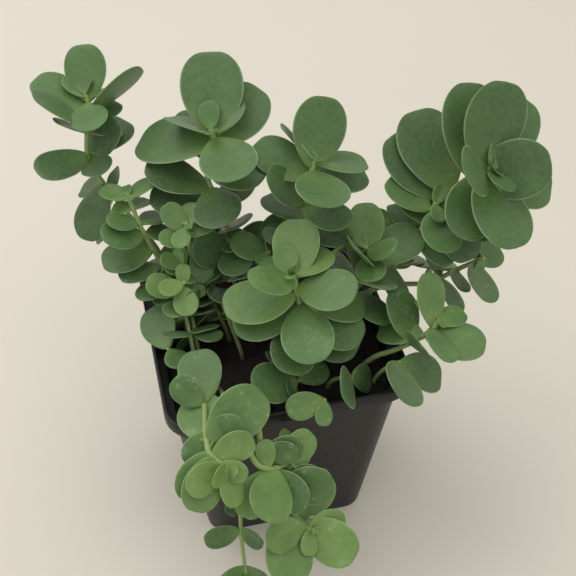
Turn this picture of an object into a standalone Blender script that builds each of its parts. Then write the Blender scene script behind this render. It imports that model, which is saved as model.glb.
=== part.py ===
"""A sedum with round fleshy leaves, growing in a square black nursery pot.

The pot stands on z = 0 with its sides along X and Y, and its front faces -Y.
The pot is filled with soil, and each leafy stem stands in a plain hole in it.
Sizes below are in millimetres. MM turns them into Blender's metres.
"""

import math
import random
from typing import NamedTuple

import bmesh
import bpy
from mathutils import Matrix, Vector
from mathutils.bvhtree import BVHTree

MM = 0.001
GAP = 0.3

POT_RIM_WIDTH = 90.0
POT_HEIGHT = 86.0
POT_BASE_WIDTH = 65.0
POT_WALL = 1.2
LIP_OVERHANG = 3.0
LIP_HEIGHT = 5.0
RIM_CORNER_RADIUS = 11.0
BASE_CORNER_RADIUS = 8.0
CORNER_STEPS = 3
DRAIN_HOLE_RADIUS = 3.5
DRAIN_HOLE_OFFSET = 20.0

SOIL_LEVEL = 76.0
SOIL_BUMP = 0.9
SOIL_RINGS = 4
HOLE_DEPTH = 12.0
HOLE_SIDES = 6
ROOT_RISE = 2.5

STEM_SIDES = 4
PATH_STEPS = 2
STEM_TAPER = 0.85
LEAF_WIDTH = 0.74
LEAF_THICKNESS = 1.8
LEAF_CLEARANCE = 0.35
LEAF_ROOT = 0.13
YOUNG_LENGTH = 15.0
YOUNG_ROOT = 0.35
ROOT_OFFSET = 0.4
WIDEST_AT = 0.61
TIP_THINNING = 0.35
OWN_LEAF_START = 0.3
OWN_LEAF_MARGIN = 0.1

# A leaf longer than LARGE_LEAF has four corners and more sections, and one shorter than TINY_LEAF the fewest.
LARGE_LEAF = 17.0
TINY_LEAF = 8.0
LARGE_SECTIONS = (0.0, 0.4, 0.72, 0.94)
SMALL_SECTIONS = (0.0, 0.45, 0.85)
TINY_SECTIONS = (0.0, 0.6)

# How a leaf cups, where the light that it turns to comes from, and how the hidden pairs grow.
LEAF_CUP = 0.05
YOUNG_CUP = 0.25
CUPPED_LENGTH = 16.0
LIGHT = Vector((-0.15, -0.6, 0.75))
LIGHT_FROM_DROP = 5.0
HIDDEN_LIGHT = 0.6
HIDDEN_SPACING = 7.0
HIDDEN_OPENING = 82.0
HIDDEN_CUP = 0.08

# What a leaf that meets a neighbour tries: shares of its length, and degrees in eight directions.
GIVE_LENGTHS = (1.0, 0.9, 0.8, 0.7, 0.6, 0.5)
GIVE_DEGREES = (0, 5, 10, 16, 23, 31, 40)
GIVE_DIRECTIONS = 8

POT_BLACK = (0.02, 0.02, 0.022)
PEAT_BROWN = (0.018, 0.014, 0.011)
SEDUM_GREEN = (0.13, 0.24, 0.10)

# The photograph's viewpoint. Every leaf tip was read from it, in pixels of its 576 x 576 frame.
EYE = Vector((-52.5, -252.4, 351.2))
EYE_DOWN = math.radians(43.9)
EYE_TURN = math.radians(13.4)
EYE_FOCUS = 972.0
FRAME_MIDDLE = 288.0
AHEAD = Vector((
    math.sin(EYE_TURN) * math.cos(EYE_DOWN),
    math.cos(EYE_TURN) * math.cos(EYE_DOWN),
    -math.sin(EYE_DOWN),
))
ACROSS = Vector((math.cos(EYE_TURN), -math.sin(EYE_TURN), 0.0))
ABOVE = ACROSS.cross(AHEAD)

# Which way a leaf's tip leans from the stem: away from the viewer, or towards the viewer.
AWAY = 1
NEAR = -1


class Seen(NamedTuple):
    """A leaf as measured: its tip's pixel, its real length, its lean and any turn about its length."""

    across: float
    down: float
    length: float
    lean: int
    turn: float = 0.0


class Stem(NamedTuple):
    """One leafy stem.

    root is where it leaves the soil, and way holds a pixel and a real height for each point up to
    its tip. pairs holds its opposite leaves, each with how far below the tip they grow. more counts
    the hidden pairs lower down, which follow a rule, and size is the length of their leaves. lit is
    how strongly its leaves turn to the light.
    """

    name: str
    root: tuple
    way: tuple
    pairs: tuple
    more: int = 0
    size: float = 20.0
    thickness: float = 2.2
    lit: float = 1.0


def stem_table():
    """The stems, those that show most first: a later leaf gives way to an earlier one."""
    s = Seen
    return (
        Stem("stem_middle", (4, -4), ((300, 322, 98), (297, 290, 112), (292, 272, 120)), (
            (0.8, s(294, 265, 7, NEAR), s(290, 278, 6, NEAR)),
            (2.2, s(280, 247, 12, AWAY), s(330, 249, 18, AWAY)),
            (4, s(297, 219, 24, AWAY), s(252, 283, 20, NEAR)),
            (7, s(358, 292, 24, NEAR), s(258, 265, 20, AWAY)),
            (10, s(220, 305, 27, NEAR), s(366, 306, 26, AWAY)),
            (14, s(313, 362, 26, NEAR), s(318, 300, 14, AWAY)),
            (16, s(227, 328, 25, AWAY), s(366, 336, 25, NEAR)),
            (25, s(290, 372, 24, NEAR), s(359, 352, 24, NEAR)),
        )),
        Stem("stem_back", (-4, 16), (
            (208, 180, 126), (207, 160, 134), (215, 143, 142), (211, 129, 148),
        ), (
            (0.8, s(207, 101, 11, AWAY), s(212, 134, 7, NEAR)),
            (2.5, s(239, 98, 17, AWAY), s(169, 117, 22, AWAY, 40)),
            (4, s(212, 50, 33, AWAY), s(240, 181, 29, NEAR)),
            (8, s(131, 114, 33, AWAY), s(260, 88, 29, AWAY)),
            (15, s(178, 96, 31, AWAY), s(262, 180, 26, NEAR)),
            (27, s(142, 168, 26, AWAY), s(222, 228, 26, NEAR)),
            (36, s(111, 192, 27, AWAY), s(250, 175, 20, AWAY)),
        ), 1, 22),
        Stem("stem_back_right", (12, 8), ((304, 210, 122), (311, 176, 136), (317, 155, 143)), (
            (0.8, s(317, 127, 12, AWAY), s(318, 160, 7, NEAR)),
            (3, s(284, 127, 21, AWAY, 50), s(367, 163, 20, AWAY)),
            (6, s(324, 94, 27, AWAY), s(330, 206, 27, NEAR)),
            (10, s(258, 142, 25, AWAY), s(366, 172, 24, AWAY)),
            (20, s(264, 172, 22, NEAR), s(340, 230, 22, NEAR)),
        ), 2, 20),
        Stem("stem_far_right", (28, 6), (
            (430, 222, 114), (452, 190, 130), (474, 175, 139), (493, 168, 145),
        ), (
            (0.7, s(492, 160, 6, NEAR), s(498, 174, 6, NEAR)),
            (1.6, s(515, 133, 17, AWAY), s(511, 190, 14, NEAR)),
            (3, s(467, 172, 26, NEAR), s(554, 190, 28, AWAY)),
            (6, s(502, 77, 33, AWAY), s(519, 247, 31, NEAR)),
            (9, s(524, 97, 34, AWAY), s(462, 240, 26, NEAR)),
            (11, s(469, 77, 34, AWAY), s(550, 142, 30, AWAY)),
            (23, s(414, 110, 35, AWAY), s(492, 240, 24, NEAR)),
            (27, s(390, 134, 32, AWAY), s(470, 262, 24, NEAR)),
        ), 2, 22),
        Stem("stem_back_left", (-26, 20), (
            (108, 190, 112), (86, 150, 130), (90, 112, 142), (85, 93, 148),
        ), (
            (0.8, s(80, 82, 6, AWAY), s(92, 80, 6, AWAY)),
            (2, s(67, 75, 13, AWAY), s(117, 87, 14, AWAY)),
            (4, s(86, 46, 23, AWAY), s(90, 128, 20, NEAR)),
            (7, s(34, 78, 25, AWAY), s(133, 64, 26, AWAY, -60)),
            (11, s(33, 97, 25, NEAR), s(118, 102, 16, AWAY)),
            (15, s(60, 122, 18, NEAR), s(120, 130, 16, AWAY)),
            (24, s(38, 175, 22, NEAR), s(125, 114, 24, AWAY)),
            (27, s(102, 172, 18, NEAR), s(133, 118, 20, AWAY)),
            (38, s(82, 190, 15, AWAY), s(86, 242, 24, NEAR)),
        ), 2, 16, 1.9),
        Stem("stem_inner", (-10, 10), ((232, 262, 100), (229, 240, 110)), (
            (0.8, s(229, 228, 8, AWAY), s(229, 252, 8, NEAR)),
            (4, s(213, 178, 20, AWAY), s(240, 275, 18, NEAR)),
            (9, s(186, 215, 22, AWAY), s(262, 225, 20, AWAY)),
        ), 2, 20, 2, 1.5),
        Stem("stem_mid_right", (20, -6), ((366, 268, 106), (366, 247, 116)), (
            (0.8, s(356, 234, 7, AWAY), s(367, 238, 6, AWAY)),
            (2, s(395, 250, 15, NEAR), s(345, 240, 10, AWAY)),
            (4, s(355, 201, 19, AWAY), s(372, 282, 16, NEAR)),
            (7, s(418, 240, 23, AWAY), s(338, 262, 20, NEAR)),
            (14, s(385, 193, 27, AWAY), s(385, 290, 22, NEAR)),
        ), 1, 20),
        Stem("stem_front_right", (30, -24), ((395, 350, 90), (425, 335, 98), (440, 320, 103)), (
            (0.8, s(440, 314, 5, AWAY), s(442, 326, 5, NEAR)),
            (2, s(464, 312, 13, AWAY), s(419, 301, 13, AWAY)),
            (4, s(427, 270, 20, AWAY), s(449, 360, 18, NEAR)),
            (8, s(377, 324, 18, AWAY), s(486, 342, 22, NEAR)),
            (14, s(398, 276, 20, AWAY), s(420, 345, 16, NEAR)),
        ), 0, 18),
        Stem("trail_right", (-11, -23), (
            (257, 408, 92), (260, 440, 85), (272, 478, 72), (296, 518, 61), (313, 531, 62),
        ), (
            (0.8, s(321, 530, 4, AWAY), s(313, 536, 4, NEAR)),
            (2, s(308, 556, 9, NEAR), s(326, 516, 9, AWAY)),
            (3, s(266, 540, 17, NEAR), s(346, 520, 14, AWAY)),
            (6, s(368, 565, 22, NEAR), s(300, 505, 14, AWAY)),
            (10, s(285, 585, 24, NEAR), s(331, 476, 21, AWAY)),
            (22, s(364, 485, 20, NEAR), s(350, 467, 16, AWAY)),
            (28, s(371, 512, 17, NEAR), s(355, 536, 18, NEAR)),
            (36, s(371, 464, 12, AWAY), s(343, 449, 14, AWAY)),
        ), 0, 18, 2.2, 3),
        Stem("trail_left", (-30, -26), ((205, 410, 91), (208, 452, 90), (230, 468, 85)), (
            (0.8, s(236, 462, 6, AWAY), s(236, 477, 7, NEAR)),
            (2, s(236, 511, 14, NEAR), s(213, 484, 10, NEAR)),
            (4, s(189, 492, 15, NEAR), s(252, 480, 10, AWAY)),
            (8, s(194, 518, 19, NEAR), s(262, 436, 15, AWAY)),
            (10, s(233, 440, 14, AWAY), s(183, 510, 18, NEAR)),
            (13, s(197, 397, 23, AWAY), s(256, 392, 25, AWAY)),
            (17, s(258, 412, 20, AWAY), s(184, 470, 12, NEAR)),
            (30, s(196, 349, 22, AWAY), s(172, 380, 14, AWAY)),
        ), 0, 18, 2.2, 3),
        Stem("trail_middle", (-18, -27), (
            (243, 412, 92), (246, 440, 88), (258, 467, 82), (280, 467, 76), (290, 461, 76),
        ), (
            (0.8, s(290, 458, 4, AWAY), s(294, 468, 4, NEAR)),
            (2, s(288, 431, 14, AWAY), s(297, 507, 14, NEAR)),
            (3, s(312, 433, 15, AWAY), s(320, 458, 11, NEAR)),
            (6, s(266, 522, 22, NEAR), s(262, 466, 13, AWAY)),
            (10, s(242, 520, 18, NEAR), s(270, 440, 10, AWAY)),
        ), 0, 16, 2.2, 3),
        Stem("stem_left_rim", (-35, -20), ((168, 348, 87),), (
            (0.8, s(152, 308, 20, AWAY), s(182, 366, 12, NEAR)),
        ), 0, 14, 1.8, 1),
        Stem("stem_left_front", (-30, -13), ((183, 302, 94), (184, 282, 105)), (
            (0.8, s(193, 278, 7, AWAY), s(160, 292, 10, NEAR)),
            (3, s(188, 316, 13, NEAR), s(183, 262, 8, AWAY)),
            (7, s(143, 282, 14, AWAY), s(206, 290, 9, AWAY)),
            (11, s(172, 316, 14, NEAR), s(196, 300, 10, AWAY)),
        ), 2, 13, 1.8, 2),
        Stem("stem_left", (-30, 4), ((160, 262, 100), (143, 232, 114), (127, 194, 127)), (
            (0.8, s(126, 186, 6, AWAY), s(131, 200, 6, NEAR)),
            (2, s(101, 190, 12, AWAY), s(154, 178, 14, AWAY)),
            (6, s(149, 199, 11, AWAY), s(112, 208, 9, AWAY)),
            (12, s(107, 222, 13, NEAR), s(166, 213, 15, AWAY)),
            (17, s(102, 236, 18, NEAR), s(172, 232, 12, AWAY)),
            (25, s(89, 265, 20, NEAR), s(120, 240, 15, AWAY)),
            (32, s(120, 278, 17, NEAR), s(150, 262, 14, AWAY)),
            (38, s(140, 301, 16, NEAR), s(170, 290, 14, NEAR)),
        ), 2, 14, 1.9, 1.5),
        Stem("stem_left_inner", (-15, 2), ((197, 275, 96), (189, 244, 113), (186, 223, 122)), (
            (0.8, s(183, 218, 5, AWAY), s(190, 228, 4, NEAR)),
            (2, s(192, 202, 12, AWAY), s(177, 247, 10, NEAR)),
            (4, s(164, 205, 13, AWAY), s(207, 226, 11, AWAY)),
            (6, s(206, 201, 14, AWAY), s(165, 236, 12, NEAR)),
            (10, s(209, 191, 17, AWAY), s(232, 222, 17, AWAY)),
        ), 5, 12, 1.8, 2),
        Stem("stem_left_small", (-12, -8), ((205, 270, 96), (202, 238, 110)), (
            (0.8, s(206, 232, 5, AWAY), s(197, 238, 4, NEAR)),
            (2, s(215, 214, 10, AWAY), s(203, 254, 9, NEAR)),
            (4, s(231, 249, 13, AWAY), s(186, 240, 9, AWAY)),
            (9, s(203, 268, 12, NEAR), s(212, 228, 11, AWAY)),
            (15, s(214, 277, 12, NEAR), s(190, 262, 11, NEAR)),
        ), 3, 12, 1.8, 2),
        Stem("stem_left_low", (-28, -8), ((186, 290, 92), (182, 264, 106)), (
            (0.8, s(176, 250, 6, AWAY), s(160, 260, 10, NEAR)),
            (3, s(185, 247, 8, AWAY), s(166, 270, 8, NEAR)),
            (7, s(142, 242, 18, AWAY), s(206, 270, 9, AWAY)),
            (13, s(150, 300, 15, NEAR), s(212, 285, 14, NEAR)),
        ), 3, 13, 1.8, 2),
        Stem("stem_mid_left", (-4, 0), ((280, 290, 94), (271, 262, 106), (268, 252, 111)), (
            (0.8, s(268, 236, 7, AWAY, 60), s(258, 263, 7, NEAR)),
            (3, s(228, 240, 16, AWAY), s(300, 255, 14, AWAY)),
            (5, s(276, 212, 16, AWAY), s(262, 276, 12, NEAR)),
            (9, s(276, 187, 26, AWAY), s(231, 266, 16, NEAR)),
            (15, s(302, 201, 26, AWAY), s(228, 290, 20, NEAR)),
        ), 0, 18),
        Stem("stem_right_shoot", (24, 0), ((416, 236, 112), (430, 214, 122), (436, 203, 127)), (
            (0.8, s(440, 222, 9, NEAR), s(440, 190, 8, AWAY)),
            (4, s(448, 251, 21, NEAR), s(380, 172, 20, AWAY)),
            (10, s(395, 186, 14, AWAY), s(470, 215, 12, NEAR)),
        ), 1, 18),
        Stem("stem_right_low", (31, 6), (
            (386, 285, 91), (425, 284, 92), (460, 268, 100), (484, 258, 106),
        ), (
            (0.8, s(480, 250, 8, AWAY), s(476, 278, 8, NEAR)),
            (4, s(487, 302, 20, NEAR), s(498, 250, 16, AWAY)),
            (12, s(417, 262, 22, AWAY), s(462, 290, 14, NEAR)),
        ), 2, 18),
        Stem("trail_long", (-24, -22), (
            (228, 414, 92), (236, 446, 84), (240, 500, 68), (241, 534, 56), (246, 575, 46),
        ), (
            (0.8, s(252, 590, 7, NEAR), s(240, 592, 7, NEAR)),
            (3, s(222, 596, 12, NEAR), s(264, 585, 12, AWAY)),
            (16, s(203, 542, 13, NEAR), s(262, 545, 10, NEAR)),
            (30, s(226, 520, 8, NEAR), s(254, 500, 8, AWAY)),
        ), 0, 12, 1.6, 2),
        Stem("shoot_front_middle", (-3, -30), ((300, 380, 85),), (
            (0.8, s(243, 392, 22, NEAR), s(330, 372, 14, AWAY)),
            (2.5, s(272, 352, 18, AWAY), s(290, 396, 10, NEAR)),
        ), 0, 14, 1.8),
        Stem("shoot_front_low", (16, -29), ((352, 378, 87),), (
            (0.8, s(343, 398, 21, NEAR), s(377, 370, 15, AWAY)),
        ), 0, 14, 1.8),
        Stem("sprig", (9, -35), ((325, 400, 89),), (
            (0.6, s(288, 404, 14, AWAY), s(322, 431, 9, NEAR)),
        ), 0, 12, 1.4),
        Stem("shoot_front_right", (33, -31), ((400, 362, 92),), (
            (0.8, s(407, 401, 24, NEAR), s(443, 380, 21, AWAY)),
        ), 0, 14, 1.8),
        Stem("stem_right_inner", (20, -14), ((398, 262, 101),), (
            (0.8, s(440, 268, 22, AWAY), s(372, 262, 16, AWAY)),
            (3, s(404, 226, 20, AWAY), s(398, 296, 20, NEAR)),
        ), 0, 16, 1.8),
        Stem("stem_back_inner", (11, 21), ((345, 246, 98),), (
            (0.8, s(377, 253, 18, AWAY), s(317, 238, 16, AWAY)),
            (3.5, s(351, 215, 18, AWAY), s(352, 273, 16, NEAR)),
        ), 0, 16, 1.8),
    )


def sight(across, down):
    """The direction in which the eye sees a pixel."""
    right = (across - FRAME_MIDDLE) / EYE_FOCUS
    low = (down - FRAME_MIDDLE) / EYE_FOCUS
    return (AHEAD + ACROSS * right - ABOVE * low).normalized()


def at_height(across, down, height):
    """The point at this height that the eye sees at a pixel."""
    ray = sight(across, down)
    return EYE + ray * ((height - EYE.z) / ray.z)


def leaf_tip(base, seen):
    """The point that the eye sees at the leaf's tip, at the leaf's length from its base."""
    ray = sight(seen.across, seen.down)
    along = (base - EYE).dot(ray)
    nearest = EYE + ray * along
    short = seen.length ** 2 - (nearest - base).length_squared
    if short <= 0:
        return base + (nearest - base).normalized() * seen.length
    return nearest + ray * seen.lean * math.sqrt(short)


def rounded_square(width, radius, height):
    """Points round a square with rounded corners, anticlockwise from the +X side."""
    points = []
    reach = width / 2 - radius
    for corner in range(4):
        start = corner * math.pi / 2
        centre_x = reach if corner in (0, 3) else -reach
        centre_y = reach if corner in (0, 1) else -reach
        for step in range(CORNER_STEPS + 1):
            angle = start + step / CORNER_STEPS * math.pi / 2
            x = centre_x + radius * math.cos(angle)
            y = centre_y + radius * math.sin(angle)
            points.append(Vector((x, y, height)))
    return points


def add_mesh(name, points, faces):
    """A new object whose mesh has these points, in millimetres."""
    mesh = bpy.data.meshes.new(name)
    mesh.from_pydata([point * MM for point in points], [], faces)
    mesh.validate()
    made = bpy.data.objects.new(name, mesh)
    bpy.context.scene.collection.objects.link(made)
    return made


def loft(name, rings):
    """A skin over rings with equal numbers of points, with a flat cap at each end."""
    count = len(rings[0])
    points = [point for ring in rings for point in ring]
    faces = []
    for level in range(len(rings) - 1):
        for i in range(count):
            j = (i + 1) % count
            low = level * count
            high = low + count
            faces.append((low + i, low + j, high + j, high + i))
    faces.append(tuple(reversed(range(count))))
    last = len(points) - count
    faces.append(tuple(range(last, last + count)))
    return add_mesh(name, points, faces)


def apply_modifiers(target):
    """Bakes the modifiers of an object into its mesh."""
    graph = bpy.context.evaluated_depsgraph_get()
    mesh = bpy.data.meshes.new_from_object(target.evaluated_get(graph))
    target.modifiers.clear()
    target.data = mesh


def combine(target, tools, operation, solver="EXACT"):
    """Joins the tools to the target, or cuts them from it, and removes them."""
    collection = bpy.data.collections.new("tools")
    bpy.context.scene.collection.children.link(collection)
    for tool in tools:
        collection.objects.link(tool)
        bpy.context.scene.collection.objects.unlink(tool)
    boolean = target.modifiers.new(operation.lower(), "BOOLEAN")
    boolean.operation = operation
    boolean.operand_type = "COLLECTION"
    boolean.collection = collection
    boolean.solver = solver
    apply_modifiers(target)
    for tool in tools:
        bpy.data.objects.remove(tool)
    bpy.data.collections.remove(collection)


def keep_outer_skin(target):
    """Fills the hollows that fusing sealed and drops loose scraps, so that one skin is left."""
    mesh = bmesh.new()
    mesh.from_mesh(target.data)
    waiting = set(mesh.verts)
    skins = []
    while waiting:
        frontier = [waiting.pop()]
        skin = set(frontier)
        while frontier:
            for edge in frontier.pop().link_edges:
                for vertex in edge.verts:
                    if vertex in waiting:
                        waiting.discard(vertex)
                        skin.add(vertex)
                        frontier.append(vertex)
        skins.append(skin)
    skins.sort(key=len)
    for skin in skins[:-1]:
        bmesh.ops.delete(mesh, geom=list(skin), context="VERTS")
    mesh.to_mesh(target.data)
    mesh.free()


def finish(target, name, colour, roughness):
    """Gives an object its own material."""
    material = bpy.data.materials.new(name)
    material.use_nodes = True
    shader = material.node_tree.nodes["Principled BSDF"]
    shader.inputs["Base Color"].default_value = (*colour, 1)
    shader.inputs["Roughness"].default_value = roughness
    target.data.materials.clear()
    target.data.materials.append(material)


def pot_wall_width(height):
    """Outer width of the sloping wall at a height."""
    top = POT_RIM_WIDTH - 2 * LIP_OVERHANG
    share = height / (POT_HEIGHT - LIP_HEIGHT)
    return POT_BASE_WIDTH + (top - POT_BASE_WIDTH) * share


def corner_radius(height):
    """Outer corner radius of the sloping wall at a height."""
    return BASE_CORNER_RADIUS + (RIM_CORNER_RADIUS - BASE_CORNER_RADIUS) * height / POT_HEIGHT


def cylinder(name, centre, bottom, top, radius, sides):
    """An upright prism with this many sides."""
    rings = []
    for height in (bottom, top):
        ring = []
        for side in range(sides):
            angle = 2 * math.pi * side / sides
            x = centre.x + radius * math.cos(angle)
            y = centre.y + radius * math.sin(angle)
            ring.append(Vector((x, y, height)))
        rings.append(ring)
    return loft(name, rings)


def make_pot():
    """The thin pot with its stepped lip, open at the top, with holes in its floor."""
    step = POT_HEIGHT - LIP_HEIGHT
    inner_rim = POT_RIM_WIDTH - 2 * POT_WALL
    inner_step = pot_wall_width(step) - 2 * POT_WALL
    profile = (
        (POT_BASE_WIDTH, BASE_CORNER_RADIUS, 0.0),
        (pot_wall_width(step), corner_radius(step), step),
        (POT_RIM_WIDTH, RIM_CORNER_RADIUS, step),
        (POT_RIM_WIDTH, RIM_CORNER_RADIUS, POT_HEIGHT),
        (inner_rim, RIM_CORNER_RADIUS - POT_WALL, POT_HEIGHT),
        (inner_rim, RIM_CORNER_RADIUS - POT_WALL, step + POT_WALL),
        (inner_step, corner_radius(step) - POT_WALL, step + POT_WALL),
        (POT_BASE_WIDTH - 2 * POT_WALL, BASE_CORNER_RADIUS - POT_WALL, POT_WALL),
    )
    pot = loft("pot", [rounded_square(*level) for level in profile])
    drills = []
    for side_x in (-1, 1):
        for side_y in (-1, 1):
            centre = Vector((side_x * DRAIN_HOLE_OFFSET, side_y * DRAIN_HOLE_OFFSET, 0))
            drills.append(cylinder("drill", centre, -POT_WALL, 2 * POT_WALL, DRAIN_HOLE_RADIUS, 12))
    combine(pot, drills, "DIFFERENCE")
    finish(pot, "black_plastic", POT_BLACK, 0.45)
    return pot


def soil_height(x, y):
    """Height of the uneven soil, from three crossing waves."""
    bump = math.sin(x * 0.31 + 1.0) + math.sin(y * 0.37 + 0.4) + math.sin((x + y) * 0.23)
    return SOIL_LEVEL + SOIL_BUMP * bump / 3


def make_soil(stems):
    """The block of soil that fills the pot, with a plain hole for each stem."""
    floor = POT_WALL + GAP
    inset = 2 * (POT_WALL + GAP)
    bottom = rounded_square(pot_wall_width(floor) - inset, corner_radius(floor) - inset / 2, floor)
    width = pot_wall_width(SOIL_LEVEL) - inset
    radius = corner_radius(SOIL_LEVEL) - inset / 2
    edge = rounded_square(width - GAP, radius, SOIL_LEVEL - SOIL_BUMP)
    rings = [bottom, edge]
    for ring in range(1, SOIL_RINGS):
        share = 1 - ring / SOIL_RINGS
        level = []
        for point in edge:
            x, y = point.x * share, point.y * share
            level.append(Vector((x, y, soil_height(x, y))))
        rings.append(level)
    soil = loft("soil", rings)
    holes = []
    for stem in stems:
        centre = Vector((*stem.root, 0))
        radius = (stem.thickness / 2 + GAP) / math.cos(math.pi / HOLE_SIDES)
        holes.append(cylinder("hole", centre, SOIL_LEVEL - HOLE_DEPTH, POT_HEIGHT, radius, HOLE_SIDES))
    combine(soil, holes, "DIFFERENCE")
    finish(soil, "peat_soil", PEAT_BROWN, 0.95)
    return soil


def curve_point(a, b, slope_a, slope_b, t):
    """A point on the cubic from a to b, with these slopes at its ends."""
    square, cube = t * t, t * t * t
    return (
        a * (2 * cube - 3 * square + 1)
        + slope_a * (cube - 2 * square + t)
        + b * (3 * square - 2 * cube)
        + slope_b * (cube - square)
    )


class Path:
    """A smooth curve through a stem's points, measured back from its tip."""

    def __init__(self, stem):
        foot = Vector((*stem.root, SOIL_LEVEL - HOLE_DEPTH + GAP))
        root = Vector((*stem.root, SOIL_LEVEL + ROOT_RISE))
        knots = [root] + [at_height(*place) for place in stem.way]
        slopes = [Vector((0, 0, (knots[1] - knots[0]).length))]
        for i in range(1, len(knots) - 1):
            slopes.append((knots[i + 1] - knots[i - 1]) / 2)
        slopes.append(knots[-1] - knots[-2])
        self.points = [foot, root]
        for i in range(len(knots) - 1):
            ends = (knots[i], knots[i + 1], slopes[i], slopes[i + 1])
            for step in range(1, PATH_STEPS + 1):
                self.points.append(curve_point(*ends, step / PATH_STEPS))
        self.drops = [0.0]
        for near, far in zip(reversed(self.points), reversed(self.points[:-1])):
            self.drops.append(self.drops[-1] + (near - far).length)
        self.length = self.drops[-1]

    def at(self, drop):
        """The point this far back from the tip, and the direction there towards the tip."""
        drop = min(max(drop, 0.0), self.length - GAP)
        for i in range(1, len(self.drops)):
            if drop <= self.drops[i]:
                near = self.points[-i]
                far = self.points[-i - 1]
                share = (drop - self.drops[i - 1]) / (self.drops[i] - self.drops[i - 1])
                return near.lerp(far, share), (near - far).normalized()


def across_to(side, axis):
    """The part of a direction that stands square to an axis."""
    return (side - axis * side.dot(axis)).normalized()


def blade_width(share, length):
    """Half-width of a leaf as a share of its greatest, at a share of its length.

    A young leaf has a broad root.
    """
    if share < WIDEST_AT:
        root = LEAF_ROOT + YOUNG_ROOT * max(0.0, 1 - length / YOUNG_LENGTH)
        return root + (1 - root) * math.sin(math.pi / 2 * share / WIDEST_AT) ** 1.4
    return math.sqrt(1 - ((share - WIDEST_AT) / (1 - WIDEST_AT)) ** 2)


class Leaf(NamedTuple):
    """One leaf: where it leaves the stem, which way it points and faces, and its shape."""

    base: Vector
    along: Vector
    face: Vector
    length: float
    cup: float
    bend: float


def sections(length):
    """Where along its length a leaf's sections stand, and how many corners each has."""
    if length > LARGE_LEAF:
        return LARGE_SECTIONS, 4
    if length < TINY_LEAF:
        return TINY_SECTIONS, 3
    return SMALL_SECTIONS, 3


def blade_thickness(share, length):
    """Thickness of a leaf at a share of its length. A small leaf and a tip are thinner."""
    return LEAF_THICKNESS * min(1.0, 0.5 + length / 40) * (1 - TIP_THINNING * share)


def blade(leaf, start=0.0, grow=0.0):
    """Points and faces of a cupped blade with a sharp rim. A small one is flat on top."""
    stations, corners = sections(leaf.length)
    up = across_to(leaf.face, leaf.along)
    side = up.cross(leaf.along)
    half = leaf.length * LEAF_WIDTH / 2
    points = []
    for share in stations:
        if share < start:
            continue
        width = half * blade_width(share, leaf.length) + grow
        thick = blade_thickness(share, leaf.length) / 2 + grow
        middle = leaf.base + leaf.along * leaf.length * share + up * leaf.bend * leaf.length * share ** 2
        rim = middle + up * leaf.cup * width
        ring = [rim - side * width, middle - up * thick, rim + side * width, middle + up * thick]
        points += ring[:corners]
    tip = len(points)
    points.append(leaf.base + leaf.along * (leaf.length + grow) + up * leaf.bend * leaf.length)
    faces = [tuple(reversed(range(corners)))]
    for low in range(0, tip, corners):
        for corner in range(corners):
            a = low + corner
            b = low + (corner + 1) % corners
            closing = low + corners == tip
            faces.append((a, b, tip) if closing else (a, b, b + corners, a + corners))
    return points, faces


class Solid(NamedTuple):
    """Something that the leaves of other stems stay clear of."""

    owner: str
    centre: Vector
    reach: float
    tree: BVHTree


def solid_of(owner, points, faces):
    """A solid with the ball that holds it, for a quick first test."""
    centre = sum(points, Vector()) / len(points)
    reach = max((point - centre).length for point in points)
    return Solid(owner, centre, reach, BVHTree.FromPolygons(points, faces))


def solid_of_object(made):
    """The solid of an object, in millimetres."""
    points = [vertex.co / MM for vertex in made.data.vertices]
    return solid_of(made.name, points, [tuple(face.vertices) for face in made.data.polygons])


def meets(solid, others):
    """Whether a solid crosses any of the others."""
    for other in others:
        if (solid.centre - other.centre).length < solid.reach + other.reach:
            if solid.tree.overlap(other.tree):
                return True
    return False


def ways_to_give():
    """How a leaf may give way: degrees lifted, degrees swung sideways and a share of its length."""
    ways = []
    for size in GIVE_LENGTHS:
        for reach in GIVE_DEGREES:
            for part in range(GIVE_DIRECTIONS if reach else 1):
                angle = 2 * math.pi * part / GIVE_DIRECTIONS
                ways.append((reach * math.sin(angle), reach * math.cos(angle), size))
    return ways


def turned(leaf, lift, swing, size):
    """A leaf tilted up towards its face, swung sideways and scaled in length."""
    up = across_to(leaf.face, leaf.along)
    side = up.cross(leaf.along)
    lifted = Matrix.Rotation(math.radians(-lift), 3, side)
    tilt = lifted @ Matrix.Rotation(math.radians(swing), 3, up)
    return leaf._replace(along=tilt @ leaf.along, face=tilt @ leaf.face, length=leaf.length * size)


def measured_leaf(stem, drop, seen, base, axis, dice):
    """A leaf whose tip was seen, turned a little to the light."""
    reach = leaf_tip(base, seen) - base
    along = reach.normalized()
    facing = axis + LIGHT * stem.lit * min(1.0, drop / LIGHT_FROM_DROP)
    facing = Matrix.Rotation(math.radians(seen.turn), 3, along) @ facing
    youth = max(0.0, 1 - reach.length / CUPPED_LENGTH)
    cup = LEAF_CUP + YOUNG_CUP * youth + dice.uniform(0, 0.08)
    bend = dice.uniform(-0.06, 0.04)
    return Leaf(base + along * ROOT_OFFSET, along, facing, reach.length, cup, bend)


def hidden_leaf(stem, roll, base, axis, dice):
    """A leaf that nobody sees, opened out from the stem at a turn round it."""
    side = across_to(Vector((1, 0.4, 0)), axis)
    out = Matrix.Rotation(math.radians(roll + dice.uniform(-15, 15)), 3, axis) @ side
    opening = math.radians(HIDDEN_OPENING + dice.uniform(-8, 8))
    along = axis * math.cos(opening) + out * math.sin(opening)
    facing = axis + LIGHT * HIDDEN_LIGHT
    length = stem.size * dice.uniform(0.85, 1.1)
    bend = dice.uniform(-0.08, 0.02)
    return Leaf(base + along * ROOT_OFFSET, along, facing, length, HIDDEN_CUP, bend)


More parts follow.
